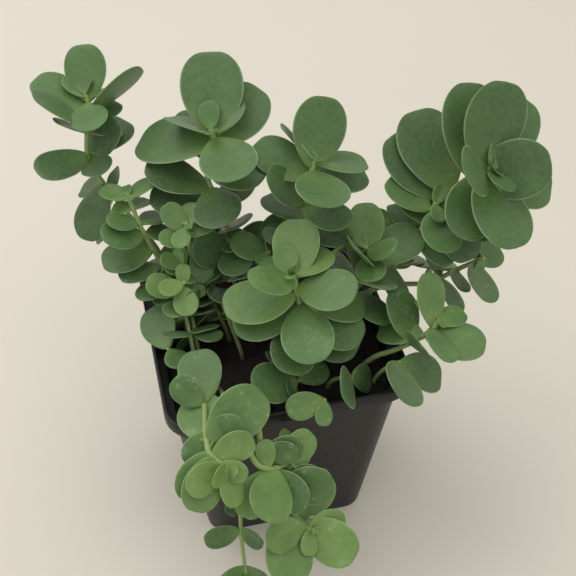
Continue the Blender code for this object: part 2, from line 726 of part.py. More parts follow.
def planned_leaves(stem, path, dice):
    """The leaves of a stem before any gives way, from the youngest pair down."""
    leaves = []
    for drop, *pair in stem.pairs:
        base, axis = path.at(drop)
        for seen in pair:
            leaves.append(measured_leaf(stem, drop, seen, base, axis, dice))
    drop = stem.pairs[-1][0]
    for number in range(1, stem.more + 1):
        drop += HIDDEN_SPACING + dice.uniform(-1, 1)
        base, axis = path.at(drop)
        for half in (0, 180):
            leaves.append(hidden_leaf(stem, 90 * number + half, base, axis, dice))
    return leaves


def grow_leaves(stem, path, solids, ways):
    """The leaves of one stem, each bent clear of its neighbours, or left off if nothing clears it."""
    dice = random.Random(stem.name)
    others = [solid for solid in solids if solid.owner != stem.name]
    grown = []
    mine = []
    for planned in planned_leaves(stem, path, dice):
        for way in ways:
            leaf = turned(planned, *way)
            if meets(solid_of(stem.name, *blade(leaf, 0.0, LEAF_CLEARANCE)), others):
                continue
            outer = solid_of(stem.name, *blade(leaf, OWN_LEAF_START, OWN_LEAF_MARGIN))
            if meets(outer, mine):
                continue
            mine.append(outer)
            grown.append(leaf)
            solids.append(solid_of(stem.name, *blade(leaf)))
            break
    return grown


def stem_rings(stem, path):
    """Rings round a stem, from its foot in the soil to its tip."""
    rings = []
    side = Vector((1, 0.13, 0))
    for drop in reversed(path.drops):
        point, axis = path.at(drop)
        side = across_to(side, axis)
        across = axis.cross(side)
        radius = stem.thickness / 2 * (STEM_TAPER + (1 - STEM_TAPER) * drop / path.length)
        ring = []
        for i in range(STEM_SIDES):
            angle = 2 * math.pi * i / STEM_SIDES
            ring.append(point + (side * math.cos(angle) + across * math.sin(angle)) * radius)
        rings.append(ring)
    return rings


def stem_solids(stem, rings):
    """One solid for each stretch of a stem above the soil."""
    count = STEM_SIDES
    faces = [(i, (i + 1) % count, (i + 1) % count + count, i + count) for i in range(count)]
    return [solid_of(stem.name, low + high, faces) for low, high in zip(rings[1:], rings[2:])]


def make_stems(stems, solids):
    """Every leafy stem as one solid each, with no two crossing."""
    ways = ways_to_give()
    paths = {stem.name: Path(stem) for stem in stems}
    bodies = {}
    for stem in stems:
        rings = stem_rings(stem, paths[stem.name])
        bodies[stem.name] = loft(stem.name, rings)
        solids += stem_solids(stem, rings)
    for stem in stems:
        body = bodies[stem.name]
        leaves = grow_leaves(stem, paths[stem.name], solids, ways)
        blades = [add_mesh("leaf", *blade(leaf)) for leaf in leaves]
        combine(body, blades, "UNION", "MANIFOLD")
        keep_outer_skin(body)
        finish(body, "sedum_leaf", SEDUM_GREEN, 0.5)


def clear_scene():
    for found in list(bpy.data.objects):
        bpy.data.objects.remove(found)


def main():
    clear_scene()
    stems = stem_table()
    pot = make_pot()
    soil = make_soil(stems)
    make_stems(stems, [solid_of_object(pot), solid_of_object(soil)])


main()
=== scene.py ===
# %% [markdown]
# # A potted sedum
#
# A sedum is a succulent: its leaves are thick, smooth and full of water, and they sit in pairs
# along soft stems. This one grows in a square black nursery pot, with tall stems at the back and
# sides and a few that hang over the front of the pot.
#
# The exact solids of the plant, the pot and the soil are already there: they are the frame that
# this script loads. The script builds a finer, good-looking piece round each of them.

import math
import random
from typing import NamedTuple

import bmesh
import bpy
from mathutils import Matrix, Vector
from mathutils.bvhtree import BVHTree


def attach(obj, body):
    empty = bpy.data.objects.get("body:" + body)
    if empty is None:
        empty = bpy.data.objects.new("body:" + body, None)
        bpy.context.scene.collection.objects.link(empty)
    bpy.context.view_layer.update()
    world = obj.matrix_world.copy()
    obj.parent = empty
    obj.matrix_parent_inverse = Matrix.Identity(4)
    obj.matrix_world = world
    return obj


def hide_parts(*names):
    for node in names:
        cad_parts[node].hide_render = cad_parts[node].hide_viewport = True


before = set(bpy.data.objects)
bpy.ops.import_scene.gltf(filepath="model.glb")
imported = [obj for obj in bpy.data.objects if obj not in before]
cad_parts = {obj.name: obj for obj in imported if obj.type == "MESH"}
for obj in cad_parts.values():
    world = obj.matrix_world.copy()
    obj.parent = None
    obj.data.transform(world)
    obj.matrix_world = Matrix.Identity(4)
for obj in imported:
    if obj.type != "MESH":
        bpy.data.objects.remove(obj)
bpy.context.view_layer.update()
MM = 0.001
print("solids in the frame:", len(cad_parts))

# %% [markdown]
# ## Colours and shader nodes
#
# A colour picker gives sRGB hex codes, but a shader works with linear light. One function turns
# the first into the second, so every colour below can be written the way a paint chart writes it.
# A second small function adds a node, sets its values and wires its inputs in one call, which
# keeps a material readable from top to bottom.


# %% Colour and node helpers
def linear(code, alpha=1.0):
    """The linear colour of an sRGB hex code such as #3F6B3A."""
    channels = []
    for start in (1, 3, 5):
        value = int(code[start:start + 2], 16) / 255
        channels.append(value / 12.92 if value <= 0.04045 else ((value + 0.055) / 1.055) ** 2.4)
    return (*channels, alpha)


def add_node(tree, kind, settings=None, **inputs):
    """Adds a node, sets its properties, and sets or links its inputs by name or by number."""
    node = tree.nodes.new(kind)
    for name, value in (settings or {}).items():
        setattr(node, name, value)
    for name, value in inputs.items():
        socket = node.inputs[int(name[1:]) if name[0] == "i" and name[1:].isdigit() else name.replace("_", " ")]
        if isinstance(value, bpy.types.NodeSocket):
            tree.links.new(value, socket)
        else:
            socket.default_value = value
    return node


def blend_colours(tree, share, first, second, mode="MIX"):
    """A mix of two colours. share is a number or a socket."""
    settings = {"data_type": "RGBA", "blend_type": mode}
    return add_node(tree, "ShaderNodeMix", settings, i0=share, i6=first, i7=second).outputs[2]


def ramp(tree, value, *stops):
    """A grey ramp over a value: each stop is a place and a brightness."""
    node = add_node(tree, "ShaderNodeValToRGB", i0=value)
    elements = node.color_ramp.elements
    while len(elements) < len(stops):
        elements.new(0.5)
    for element, (place, grey) in zip(elements, stops):
        element.position = place
        element.color = (grey, grey, grey, 1)
    return node.outputs[0]


def math_node(tree, operation, first, second=0.0):
    return add_node(tree, "ShaderNodeMath", {"operation": operation}, i0=first, i1=second).outputs[0]


def noise(tree, place, size_mm, detail=3.0, rough=0.5):
    """Noise whose patches are about this many millimetres across."""
    made = add_node(tree, "ShaderNodeTexNoise", i0=place, Scale=1000 / size_mm, Detail=detail, Roughness=rough)
    return made.outputs[0]


def new_material(name):
    """A material with an empty Principled shader, and the object's own coordinates in metres."""
    material = bpy.data.materials.new(name)
    material.use_nodes = True
    tree = material.node_tree
    place = add_node(tree, "ShaderNodeTexCoord").outputs["Object"]
    return material, tree, tree.nodes["Principled BSDF"], place


def bump(tree, shader, height, distance_mm, strength=1.0):
    """Raises the surface by this many millimetres where the height is 1."""
    made = add_node(tree, "ShaderNodeBump", Strength=strength, Distance=distance_mm * MM, Height=height)
    tree.links.new(made.outputs[0], shader.inputs["Normal"])


# %% [markdown]
# ## Leaf skin
#
# The leaf is fleshy and smooth, with a thin coat of wax that scatters a little blue-grey light:
# gardeners call it bloom. Young leaves in the middle of a head are a light yellow-green, and old
# leaves low on the stem are dark, partly from age and partly as painted shade for the low, inner
# leaves, with rings where drops of water have dried. The leaf's edge is a hair paler than the rest,
# partly its own pale margin and partly a painted highlight where light shines through the thin rim.
#
# A picture could be wrapped round each leaf, but the leaves are all alike except in age, so a
# shader is enough. Each leaf carries four numbers on its vertices, and the shader reads them:
# how fresh it is, which also darkens low leaves as painted shade, how near the rim, how far
# along, and how marked by water.


# %% Leaf material
# The darkest green is partly the colour of old leaves and partly painted shade for low, inner leaves.
LEAF_OLD_AND_SHADED = linear("#1C3318")
LEAF_FRESH = linear("#4E7232")
LEAF_YOUNG = linear("#84A44E")
LEAF_BLOOM = linear("#7F9C7C")
# The pale rim colour is partly the leaf's own margin and partly a painted highlight of light through the thin edge.
LEAF_RIM_AND_HIGHLIGHT = linear("#A7BD92")
LEAF_UNDER = linear("#64824F")
LEAF_MARK = linear("#9DB093")


def make_leaf_material():
    material, tree, shader, place = new_material("leaf_skin")
    fresh = add_node(tree, "ShaderNodeAttribute", {"attribute_name": "fresh"}).outputs["Fac"]
    rim = add_node(tree, "ShaderNodeAttribute", {"attribute_name": "rim"}).outputs["Fac"]
    along = add_node(tree, "ShaderNodeAttribute", {"attribute_name": "along"}).outputs["Fac"]
    marked = add_node(tree, "ShaderNodeAttribute", {"attribute_name": "marked"}).outputs["Fac"]
    under = add_node(tree, "ShaderNodeAttribute", {"attribute_name": "under"}).outputs["Fac"]
    broad = noise(tree, place, 9, 2)
    fine = noise(tree, place, 1.6, 4)
    wander = math_node(tree, "MULTIPLY_ADD", broad, 0.34)
    wander.node.inputs[2].default_value = -0.17
    # A low fresh number gives the dark green: partly age, partly painted shade on low, inner leaves.
    grown = math_node(tree, "ADD", fresh, wander)
    body = blend_colours(tree, ramp(tree, grown, (0.0, 0), (0.6, 1)), LEAF_OLD_AND_SHADED, LEAF_FRESH)
    body = blend_colours(tree, ramp(tree, grown, (0.62, 0), (1.0, 1)), body, LEAF_YOUNG)
    base_glow = ramp(tree, along, (0.0, 0.45), (0.42, 0))
    body = blend_colours(tree, base_glow, body, LEAF_YOUNG)
    body = blend_colours(tree, math_node(tree, "MULTIPLY", under, 0.45), body, LEAF_UNDER)
    wax = math_node(tree, "MULTIPLY", ramp(tree, fine, (0.35, 0.35), (0.7, 1)), 0.22)
    body = blend_colours(tree, wax, body, LEAF_BLOOM)
    # Paler near the rim: partly the leaf's own margin, partly a painted highlight where light shines through.
    edge = math_node(tree, "MULTIPLY", ramp(tree, rim, (0.9, 0), (0.985, 1)), 0.75)
    body = blend_colours(tree, edge, body, LEAF_RIM_AND_HIGHLIGHT)
    drops = add_node(tree, "ShaderNodeTexVoronoi", i0=place, Scale=1000 / 3.4, Randomness=1.0).outputs[0]
    ring = ramp(tree, drops, (0.14, 0.25), (0.22, 1.0), (0.27, 0.0))
    specks = ramp(tree, noise(tree, place, 1.1, 2), (0.62, 0), (0.72, 1))
    marks = math_node(tree, "MAXIMUM", ring, specks)
    patchy = ramp(tree, broad, (0.48, 0), (0.62, 1))
    marks = math_node(tree, "MULTIPLY", math_node(tree, "MULTIPLY", marks, patchy), marked)
    body = blend_colours(tree, math_node(tree, "MULTIPLY", marks, 0.5), body, LEAF_MARK)
    tree.links.new(body, shader.inputs["Base Color"])
    rough = add_node(tree, "ShaderNodeMapRange", i0=fine, i3=0.36, i4=0.52).outputs[0]
    tree.links.new(rough, shader.inputs["Roughness"])
    shader.inputs["Subsurface Weight"].default_value = 0.12
    shader.inputs["Subsurface Radius"].default_value = (0.5, 1.0, 0.2)
    shader.inputs["Subsurface Scale"].default_value = 0.8 * MM
    shader.inputs["Specular IOR Level"].default_value = 0.42
    shader.inputs["Sheen Weight"].default_value = 0.06
    shader.inputs["Sheen Roughness"].default_value = 0.4
    bump(tree, shader, noise(tree, place, 1.3, 3), 0.05)
    return material


leaf_material = make_leaf_material()
print("leaf skin has", len(leaf_material.node_tree.nodes), "nodes")

# %% [markdown]
# ## Sizes
#
# The plant is worked out in millimetres, because that is how leaves and pots are measured, and
# MM turns the result into Blender's metres. These are the same sizes that the solids have, so the
# finer pieces fall in the same places.

# %% The driving sizes, in millimetres
GAP = 0.3
POT_RIM_WIDTH = 90.0
POT_HEIGHT = 86.0
POT_BASE_WIDTH = 65.0
POT_WALL = 1.2
LIP_OVERHANG = 3.0
LIP_HEIGHT = 5.0
RIM_CORNER_RADIUS = 11.0
BASE_CORNER_RADIUS = 8.0
DRAIN_HOLE_RADIUS = 3.5
DRAIN_HOLE_OFFSET = 20.0

SOIL_LEVEL = 76.0
SOIL_BUMP = 0.9
HOLE_DEPTH = 12.0
ROOT_RISE = 2.5

STEM_SIDES = 4
PATH_STEPS = 2
STEM_TAPER = 0.85
LEAF_WIDTH = 0.74
LEAF_THICKNESS = 1.8
LEAF_CLEARANCE = 0.35
LEAF_ROOT = 0.13
YOUNG_LENGTH = 15.0
YOUNG_ROOT = 0.35
ROOT_OFFSET = 0.4
WIDEST_AT = 0.61
TIP_THINNING = 0.35
OWN_LEAF_START = 0.3
OWN_LEAF_MARGIN = 0.1

# A longer leaf has four corners and more sections, and a very small one the fewest.
LARGE_LEAF = 17.0
TINY_LEAF = 8.0
LARGE_SECTIONS = (0.0, 0.4, 0.72, 0.94)
SMALL_SECTIONS = (0.0, 0.45, 0.85)
TINY_SECTIONS = (0.0, 0.6)

# How a leaf cups, where the light that it turns to comes from, and how the hidden pairs grow.
LEAF_CUP = 0.05
YOUNG_CUP = 0.25
CUPPED_LENGTH = 16.0
LIGHT = Vector((-0.15, -0.6, 0.75))
LIGHT_FROM_DROP = 5.0
HIDDEN_LIGHT = 0.6
HIDDEN_SPACING = 7.0
HIDDEN_OPENING = 82.0
HIDDEN_CUP = 0.08

# What a leaf that meets a neighbour tries: shares of its length, and degrees in eight directions.
GIVE_LENGTHS = (1.0, 0.9, 0.8, 0.7, 0.6, 0.5)
GIVE_DEGREES = (0, 5, 10, 16, 23, 31, 40)
GIVE_DIRECTIONS = 8

# %% [markdown]
# ## Where each leaf grows
#
# A plant can be scattered by a random rule, but then it is nobody's plant. This one was measured
# leaf by leaf instead. For each leaf that shows, the table holds the pixel where its tip is seen,
# its real length, and whether it leans away from the viewer or towards them. With the viewpoint
# known, that fixes the leaf in space: its tip lies on the line of sight, at the leaf's length from
# the stem. Leaves that nobody sees follow the sedum's own rule, in opposite pairs, each turned a
# quarter from the last.


# %% The viewpoint, and what one measured leaf and one stem hold
EYE = Vector((-52.5, -252.4, 351.2))
EYE_DOWN = math.radians(43.9)
EYE_TURN = math.radians(13.4)
EYE_FOCUS = 972.0
FRAME_MIDDLE = 288.0
AHEAD = Vector((
    math.sin(EYE_TURN) * math.cos(EYE_DOWN),
    math.cos(EYE_TURN) * math.cos(EYE_DOWN),
    -math.sin(EYE_DOWN),
))
ACROSS = Vector((math.cos(EYE_TURN), -math.sin(EYE_TURN), 0.0))
ABOVE = ACROSS.cross(AHEAD)

# Which way a leaf's tip leans from the stem: away from the viewer, or towards the viewer.
AWAY = 1
NEAR = -1


class Seen(NamedTuple):
    """A leaf as measured: its tip's pixel, its real length, its lean and any turn about its length."""

    across: float
    down: float
    length: float
    lean: int
    turn: float = 0.0


class Stem(NamedTuple):
    """One leafy stem.

    root is where it leaves the soil, and way holds a pixel and a real height for each point up to
    its tip. pairs holds its opposite leaves, each with how far below the tip they grow. more counts
    the hidden pairs lower down, which follow a rule, and size is the length of their leaves. lit is
    how strongly its leaves turn to the light.
    """

    name: str
    root: tuple
    way: tuple
    pairs: tuple
    more: int = 0
    size: float = 20.0
    thickness: float = 2.2
    lit: float = 1.0


# %% The stems and their leaves, as measured
def stem_table():
    """The stems, those that show most first: a later leaf gives way to an earlier one."""
    s = Seen
    return (
        Stem("stem_middle", (4, -4), ((300, 322, 98), (297, 290, 112), (292, 272, 120)), (
            (0.8, s(294, 265, 7, NEAR), s(290, 278, 6, NEAR)),
            (2.2, s(280, 247, 12, AWAY), s(330, 249, 18, AWAY)),
            (4, s(297, 219, 24, AWAY), s(252, 283, 20, NEAR)),
            (7, s(358, 292, 24, NEAR), s(258, 265, 20, AWAY)),
            (10, s(220, 305, 27, NEAR), s(366, 306, 26, AWAY)),
            (14, s(313, 362, 26, NEAR), s(318, 300, 14, AWAY)),
            (16, s(227, 328, 25, AWAY), s(366, 336, 25, NEAR)),
            (25, s(290, 372, 24, NEAR), s(359, 352, 24, NEAR)),
        )),
        Stem("stem_back", (-4, 16), (
            (208, 180, 126), (207, 160, 134), (215, 143, 142), (211, 129, 148),
        ), (
            (0.8, s(207, 101, 11, AWAY), s(212, 134, 7, NEAR)),
            (2.5, s(239, 98, 17, AWAY), s(169, 117, 22, AWAY, 40)),
            (4, s(212, 50, 33, AWAY), s(240, 181, 29, NEAR)),
            (8, s(131, 114, 33, AWAY), s(260, 88, 29, AWAY)),
            (15, s(178, 96, 31, AWAY), s(262, 180, 26, NEAR)),
            (27, s(142, 168, 26, AWAY), s(222, 228, 26, NEAR)),
            (36, s(111, 192, 27, AWAY), s(250, 175, 20, AWAY)),
        ), 1, 22),
        Stem("stem_back_right", (12, 8), ((304, 210, 122), (311, 176, 136), (317, 155, 143)), (
            (0.8, s(317, 127, 12, AWAY), s(318, 160, 7, NEAR)),
            (3, s(284, 127, 21, AWAY, 50), s(367, 163, 20, AWAY)),
            (6, s(324, 94, 27, AWAY), s(330, 206, 27, NEAR)),
            (10, s(258, 142, 25, AWAY), s(366, 172, 24, AWAY)),
            (20, s(264, 172, 22, NEAR), s(340, 230, 22, NEAR)),
        ), 2, 20),
        Stem("stem_far_right", (28, 6), (
            (430, 222, 114), (452, 190, 130), (474, 175, 139), (493, 168, 145),
        ), (
            (0.7, s(492, 160, 6, NEAR), s(498, 174, 6, NEAR)),
            (1.6, s(515, 133, 17, AWAY), s(511, 190, 14, NEAR)),
            (3, s(467, 172, 26, NEAR), s(554, 190, 28, AWAY)),
            (6, s(502, 77, 33, AWAY), s(519, 247, 31, NEAR)),
            (9, s(524, 97, 34, AWAY), s(462, 240, 26, NEAR)),
            (11, s(469, 77, 34, AWAY), s(550, 142, 30, AWAY)),
            (23, s(414, 110, 35, AWAY), s(492, 240, 24, NEAR)),
            (27, s(390, 134, 32, AWAY), s(470, 262, 24, NEAR)),
        ), 2, 22),
        Stem("stem_back_left", (-26, 20), (
            (108, 190, 112), (86, 150, 130), (90, 112, 142), (85, 93, 148),
        ), (
            (0.8, s(80, 82, 6, AWAY), s(92, 80, 6, AWAY)),
            (2, s(67, 75, 13, AWAY), s(117, 87, 14, AWAY)),
            (4, s(86, 46, 23, AWAY), s(90, 128, 20, NEAR)),
            (7, s(34, 78, 25, AWAY), s(133, 64, 26, AWAY, -60)),
            (11, s(33, 97, 25, NEAR), s(118, 102, 16, AWAY)),
            (15, s(60, 122, 18, NEAR), s(120, 130, 16, AWAY)),
            (24, s(38, 175, 22, NEAR), s(125, 114, 24, AWAY)),
            (27, s(102, 172, 18, NEAR), s(133, 118, 20, AWAY)),
            (38, s(82, 190, 15, AWAY), s(86, 242, 24, NEAR)),
        ), 2, 16, 1.9),
        Stem("stem_inner", (-10, 10), ((232, 262, 100), (229, 240, 110)), (
            (0.8, s(229, 228, 8, AWAY), s(229, 252, 8, NEAR)),
            (4, s(213, 178, 20, AWAY), s(240, 275, 18, NEAR)),
            (9, s(186, 215, 22, AWAY), s(262, 225, 20, AWAY)),
        ), 2, 20, 2, 1.5),
        Stem("stem_mid_right", (20, -6), ((366, 268, 106), (366, 247, 116)), (
            (0.8, s(356, 234, 7, AWAY), s(367, 238, 6, AWAY)),
            (2, s(395, 250, 15, NEAR), s(345, 240, 10, AWAY)),
            (4, s(355, 201, 19, AWAY), s(372, 282, 16, NEAR)),
            (7, s(418, 240, 23, AWAY), s(338, 262, 20, NEAR)),
            (14, s(385, 193, 27, AWAY), s(385, 290, 22, NEAR)),
        ), 1, 20),
        Stem("stem_front_right", (30, -24), ((395, 350, 90), (425, 335, 98), (440, 320, 103)), (
            (0.8, s(440, 314, 5, AWAY), s(442, 326, 5, NEAR)),
            (2, s(464, 312, 13, AWAY), s(419, 301, 13, AWAY)),
            (4, s(427, 270, 20, AWAY), s(449, 360, 18, NEAR)),
            (8, s(377, 324, 18, AWAY), s(486, 342, 22, NEAR)),
            (14, s(398, 276, 20, AWAY), s(420, 345, 16, NEAR)),
        ), 0, 18),
        Stem("trail_right", (-11, -23), (
            (257, 408, 92), (260, 440, 85), (272, 478, 72), (296, 518, 61), (313, 531, 62),
        ), (
            (0.8, s(321, 530, 4, AWAY), s(313, 536, 4, NEAR)),
            (2, s(308, 556, 9, NEAR), s(326, 516, 9, AWAY)),
            (3, s(266, 540, 17, NEAR), s(346, 520, 14, AWAY)),
            (6, s(368, 565, 22, NEAR), s(300, 505, 14, AWAY)),
            (10, s(285, 585, 24, NEAR), s(331, 476, 21, AWAY)),
            (22, s(364, 485, 20, NEAR), s(350, 467, 16, AWAY)),
            (28, s(371, 512, 17, NEAR), s(355, 536, 18, NEAR)),
            (36, s(371, 464, 12, AWAY), s(343, 449, 14, AWAY)),
        ), 0, 18, 2.2, 3),
        Stem("trail_left", (-30, -26), ((205, 410, 91), (208, 452, 90), (230, 468, 85)), (
            (0.8, s(236, 462, 6, AWAY), s(236, 477, 7, NEAR)),
            (2, s(236, 511, 14, NEAR), s(213, 484, 10, NEAR)),
            (4, s(189, 492, 15, NEAR), s(252, 480, 10, AWAY)),
            (8, s(194, 518, 19, NEAR), s(262, 436, 15, AWAY)),
            (10, s(233, 440, 14, AWAY), s(183, 510, 18, NEAR)),
            (13, s(197, 397, 23, AWAY), s(256, 392, 25, AWAY)),
            (17, s(258, 412, 20, AWAY), s(184, 470, 12, NEAR)),
            (30, s(196, 349, 22, AWAY), s(172, 380, 14, AWAY)),
        ), 0, 18, 2.2, 3),
        Stem("trail_middle", (-18, -27), (
            (243, 412, 92), (246, 440, 88), (258, 467, 82), (280, 467, 76), (290, 461, 76),
        ), (
            (0.8, s(290, 458, 4, AWAY), s(294, 468, 4, NEAR)),
            (2, s(288, 431, 14, AWAY), s(297, 507, 14, NEAR)),
            (3, s(312, 433, 15, AWAY), s(320, 458, 11, NEAR)),
            (6, s(266, 522, 22, NEAR), s(262, 466, 13, AWAY)),
            (10, s(242, 520, 18, NEAR), s(270, 440, 10, AWAY)),
        ), 0, 16, 2.2, 3),
        Stem("stem_left_rim", (-35, -20), ((168, 348, 87),), (
            (0.8, s(152, 308, 20, AWAY), s(182, 366, 12, NEAR)),
        ), 0, 14, 1.8, 1),
        Stem("stem_left_front", (-30, -13), ((183, 302, 94), (184, 282, 105)), (
            (0.8, s(193, 278, 7, AWAY), s(160, 292, 10, NEAR)),
            (3, s(188, 316, 13, NEAR), s(183, 262, 8, AWAY)),
            (7, s(143, 282, 14, AWAY), s(206, 290, 9, AWAY)),
            (11, s(172, 316, 14, NEAR), s(196, 300, 10, AWAY)),
        ), 2, 13, 1.8, 2),
        Stem("stem_left", (-30, 4), ((160, 262, 100), (143, 232, 114), (127, 194, 127)), (
            (0.8, s(126, 186, 6, AWAY), s(131, 200, 6, NEAR)),
            (2, s(101, 190, 12, AWAY), s(154, 178, 14, AWAY)),
            (6, s(149, 199, 11, AWAY), s(112, 208, 9, AWAY)),
            (12, s(107, 222, 13, NEAR), s(166, 213, 15, AWAY)),
            (17, s(102, 236, 18, NEAR), s(172, 232, 12, AWAY)),
            (25, s(89, 265, 20, NEAR), s(120, 240, 15, AWAY)),
            (32, s(120, 278, 17, NEAR), s(150, 262, 14, AWAY)),
            (38, s(140, 301, 16, NEAR), s(170, 290, 14, NEAR)),
        ), 2, 14, 1.9, 1.5),
        Stem("stem_left_inner", (-15, 2), ((197, 275, 96), (189, 244, 113), (186, 223, 122)), (
            (0.8, s(183, 218, 5, AWAY), s(190, 228, 4, NEAR)),
            (2, s(192, 202, 12, AWAY), s(177, 247, 10, NEAR)),
            (4, s(164, 205, 13, AWAY), s(207, 226, 11, AWAY)),
            (6, s(206, 201, 14, AWAY), s(165, 236, 12, NEAR)),
            (10, s(209, 191, 17, AWAY), s(232, 222, 17, AWAY)),
        ), 5, 12, 1.8, 2),
        Stem("stem_left_small", (-12, -8), ((205, 270, 96), (202, 238, 110)), (
            (0.8, s(206, 232, 5, AWAY), s(197, 238, 4, NEAR)),
            (2, s(215, 214, 10, AWAY), s(203, 254, 9, NEAR)),
            (4, s(231, 249, 13, AWAY), s(186, 240, 9, AWAY)),
            (9, s(203, 268, 12, NEAR), s(212, 228, 11, AWAY)),
            (15, s(214, 277, 12, NEAR), s(190, 262, 11, NEAR)),
        ), 3, 12, 1.8, 2),
        Stem("stem_left_low", (-28, -8), ((186, 290, 92), (182, 264, 106)), (
            (0.8, s(176, 250, 6, AWAY), s(160, 260, 10, NEAR)),
            (3, s(185, 247, 8, AWAY), s(166, 270, 8, NEAR)),
            (7, s(142, 242, 18, AWAY), s(206, 270, 9, AWAY)),
            (13, s(150, 300, 15, NEAR), s(212, 285, 14, NEAR)),
        ), 3, 13, 1.8, 2),
        Stem("stem_mid_left", (-4, 0), ((280, 290, 94), (271, 262, 106), (268, 252, 111)), (
            (0.8, s(268, 236, 7, AWAY, 60), s(258, 263, 7, NEAR)),
            (3, s(228, 240, 16, AWAY), s(300, 255, 14, AWAY)),
            (5, s(276, 212, 16, AWAY), s(262, 276, 12, NEAR)),
            (9, s(276, 187, 26, AWAY), s(231, 266, 16, NEAR)),
            (15, s(302, 201, 26, AWAY), s(228, 290, 20, NEAR)),
        ), 0, 18),
        Stem("stem_right_shoot", (24, 0), ((416, 236, 112), (430, 214, 122), (436, 203, 127)), (
            (0.8, s(440, 222, 9, NEAR), s(440, 190, 8, AWAY)),
            (4, s(448, 251, 21, NEAR), s(380, 172, 20, AWAY)),
            (10, s(395, 186, 14, AWAY), s(470, 215, 12, NEAR)),
        ), 1, 18),
        Stem("stem_right_low", (31, 6), (
            (386, 285, 91), (425, 284, 92), (460, 268, 100), (484, 258, 106),
        ), (
            (0.8, s(480, 250, 8, AWAY), s(476, 278, 8, NEAR)),
            (4, s(487, 302, 20, NEAR), s(498, 250, 16, AWAY)),
            (12, s(417, 262, 22, AWAY), s(462, 290, 14, NEAR)),
        ), 2, 18),
        Stem("trail_long", (-24, -22), (
            (228, 414, 92), (236, 446, 84), (240, 500, 68), (241, 534, 56), (246, 575, 46),
        ), (
            (0.8, s(252, 590, 7, NEAR), s(240, 592, 7, NEAR)),
            (3, s(222, 596, 12, NEAR), s(264, 585, 12, AWAY)),
            (16, s(203, 542, 13, NEAR), s(262, 545, 10, NEAR)),
            (30, s(226, 520, 8, NEAR), s(254, 500, 8, AWAY)),
        ), 0, 12, 1.6, 2),
        Stem("shoot_front_middle", (-3, -30), ((300, 380, 85),), (
            (0.8, s(243, 392, 22, NEAR), s(330, 372, 14, AWAY)),
            (2.5, s(272, 352, 18, AWAY), s(290, 396, 10, NEAR)),
        ), 0, 14, 1.8),
        Stem("shoot_front_low", (16, -29), ((352, 378, 87),), (
            (0.8, s(343, 398, 21, NEAR), s(377, 370, 15, AWAY)),
        ), 0, 14, 1.8),
        Stem("sprig", (9, -35), ((325, 400, 89),), (
            (0.6, s(288, 404, 14, AWAY), s(322, 431, 9, NEAR)),
        ), 0, 12, 1.4),
        Stem("shoot_front_right", (33, -31), ((400, 362, 92),), (
            (0.8, s(407, 401, 24, NEAR), s(443, 380, 21, AWAY)),
        ), 0, 14, 1.8),
        Stem("stem_right_inner", (20, -14), ((398, 262, 101),), (
            (0.8, s(440, 268, 22, AWAY), s(372, 262, 16, AWAY)),
            (3, s(404, 226, 20, AWAY), s(398, 296, 20, NEAR)),
        ), 0, 16, 1.8),
        Stem("stem_back_inner", (11, 21), ((345, 246, 98),), (
            (0.8, s(377, 253, 18, AWAY), s(317, 238, 16, AWAY)),
            (3.5, s(351, 215, 18, AWAY), s(352, 273, 16, NEAR)),
        ), 0, 16, 1.8),
    )


stems = stem_table()
print("stems:", len(stems), "measured leaves:", sum(2 * len(stem.pairs) for stem in stems))

# %% [markdown]
# ## Lines of sight and stems
#
# A pixel and a height give one point in space, and a stem is a smooth curve through a few such
# points. The curve is measured back from its tip, because that is how a gardener counts leaves:
# the youngest pair is at the very top.


# %% Sight lines and the stem's path
def sight(across, down):
    """The direction in which the eye sees a pixel."""
    right = (across - FRAME_MIDDLE) / EYE_FOCUS
    low = (down - FRAME_MIDDLE) / EYE_FOCUS
    return (AHEAD + ACROSS * right - ABOVE * low).normalized()


def at_height(across, down, height):
    """The point at this height that the eye sees at a pixel."""
    ray = sight(across, down)
    return EYE + ray * ((height - EYE.z) / ray.z)


def leaf_tip(base, seen):
    """The point that the eye sees at the leaf's tip, at the leaf's length from its base."""
    ray = sight(seen.across, seen.down)
    along = (base - EYE).dot(ray)
    nearest = EYE + ray * along
    short = seen.length ** 2 - (nearest - base).length_squared
    if short <= 0:
        return base + (nearest - base).normalized() * seen.length
    return nearest + ray * seen.lean * math.sqrt(short)


def curve_point(a, b, slope_a, slope_b, t):
    """A point on the cubic from a to b, with these slopes at its ends."""
    square, cube = t * t, t * t * t
    return (
        a * (2 * cube - 3 * square + 1)
        + slope_a * (cube - 2 * square + t)
        + b * (3 * square - 2 * cube)
        + slope_b * (cube - square)
    )


class Path:
    """A smooth curve through a stem's points, measured back from its tip."""

    def __init__(self, stem):
        foot = Vector((*stem.root, SOIL_LEVEL - HOLE_DEPTH + GAP))
        root = Vector((*stem.root, SOIL_LEVEL + ROOT_RISE))
        knots = [root] + [at_height(*place) for place in stem.way]
        slopes = [Vector((0, 0, (knots[1] - knots[0]).length))]
        for i in range(1, len(knots) - 1):
            slopes.append((knots[i + 1] - knots[i - 1]) / 2)
        slopes.append(knots[-1] - knots[-2])
        self.points = [foot, root]
        for i in range(len(knots) - 1):
            ends = (knots[i], knots[i + 1], slopes[i], slopes[i + 1])
            for step in range(1, PATH_STEPS + 1):
                self.points.append(curve_point(*ends, step / PATH_STEPS))
        self.drops = [0.0]
        for near, far in zip(reversed(self.points), reversed(self.points[:-1])):
            self.drops.append(self.drops[-1] + (near - far).length)
        self.length = self.drops[-1]

    def at(self, drop):
        """The point this far back from the tip, and the direction there towards the tip."""
        drop = min(max(drop, 0.0), self.length - GAP)
        for i in range(1, len(self.drops)):
            if drop <= self.drops[i]:
                near = self.points[-i]
                far = self.points[-i - 1]
                share = (drop - self.drops[i - 1]) / (self.drops[i] - self.drops[i - 1])
                return near.lerp(far, share), (near - far).normalized()


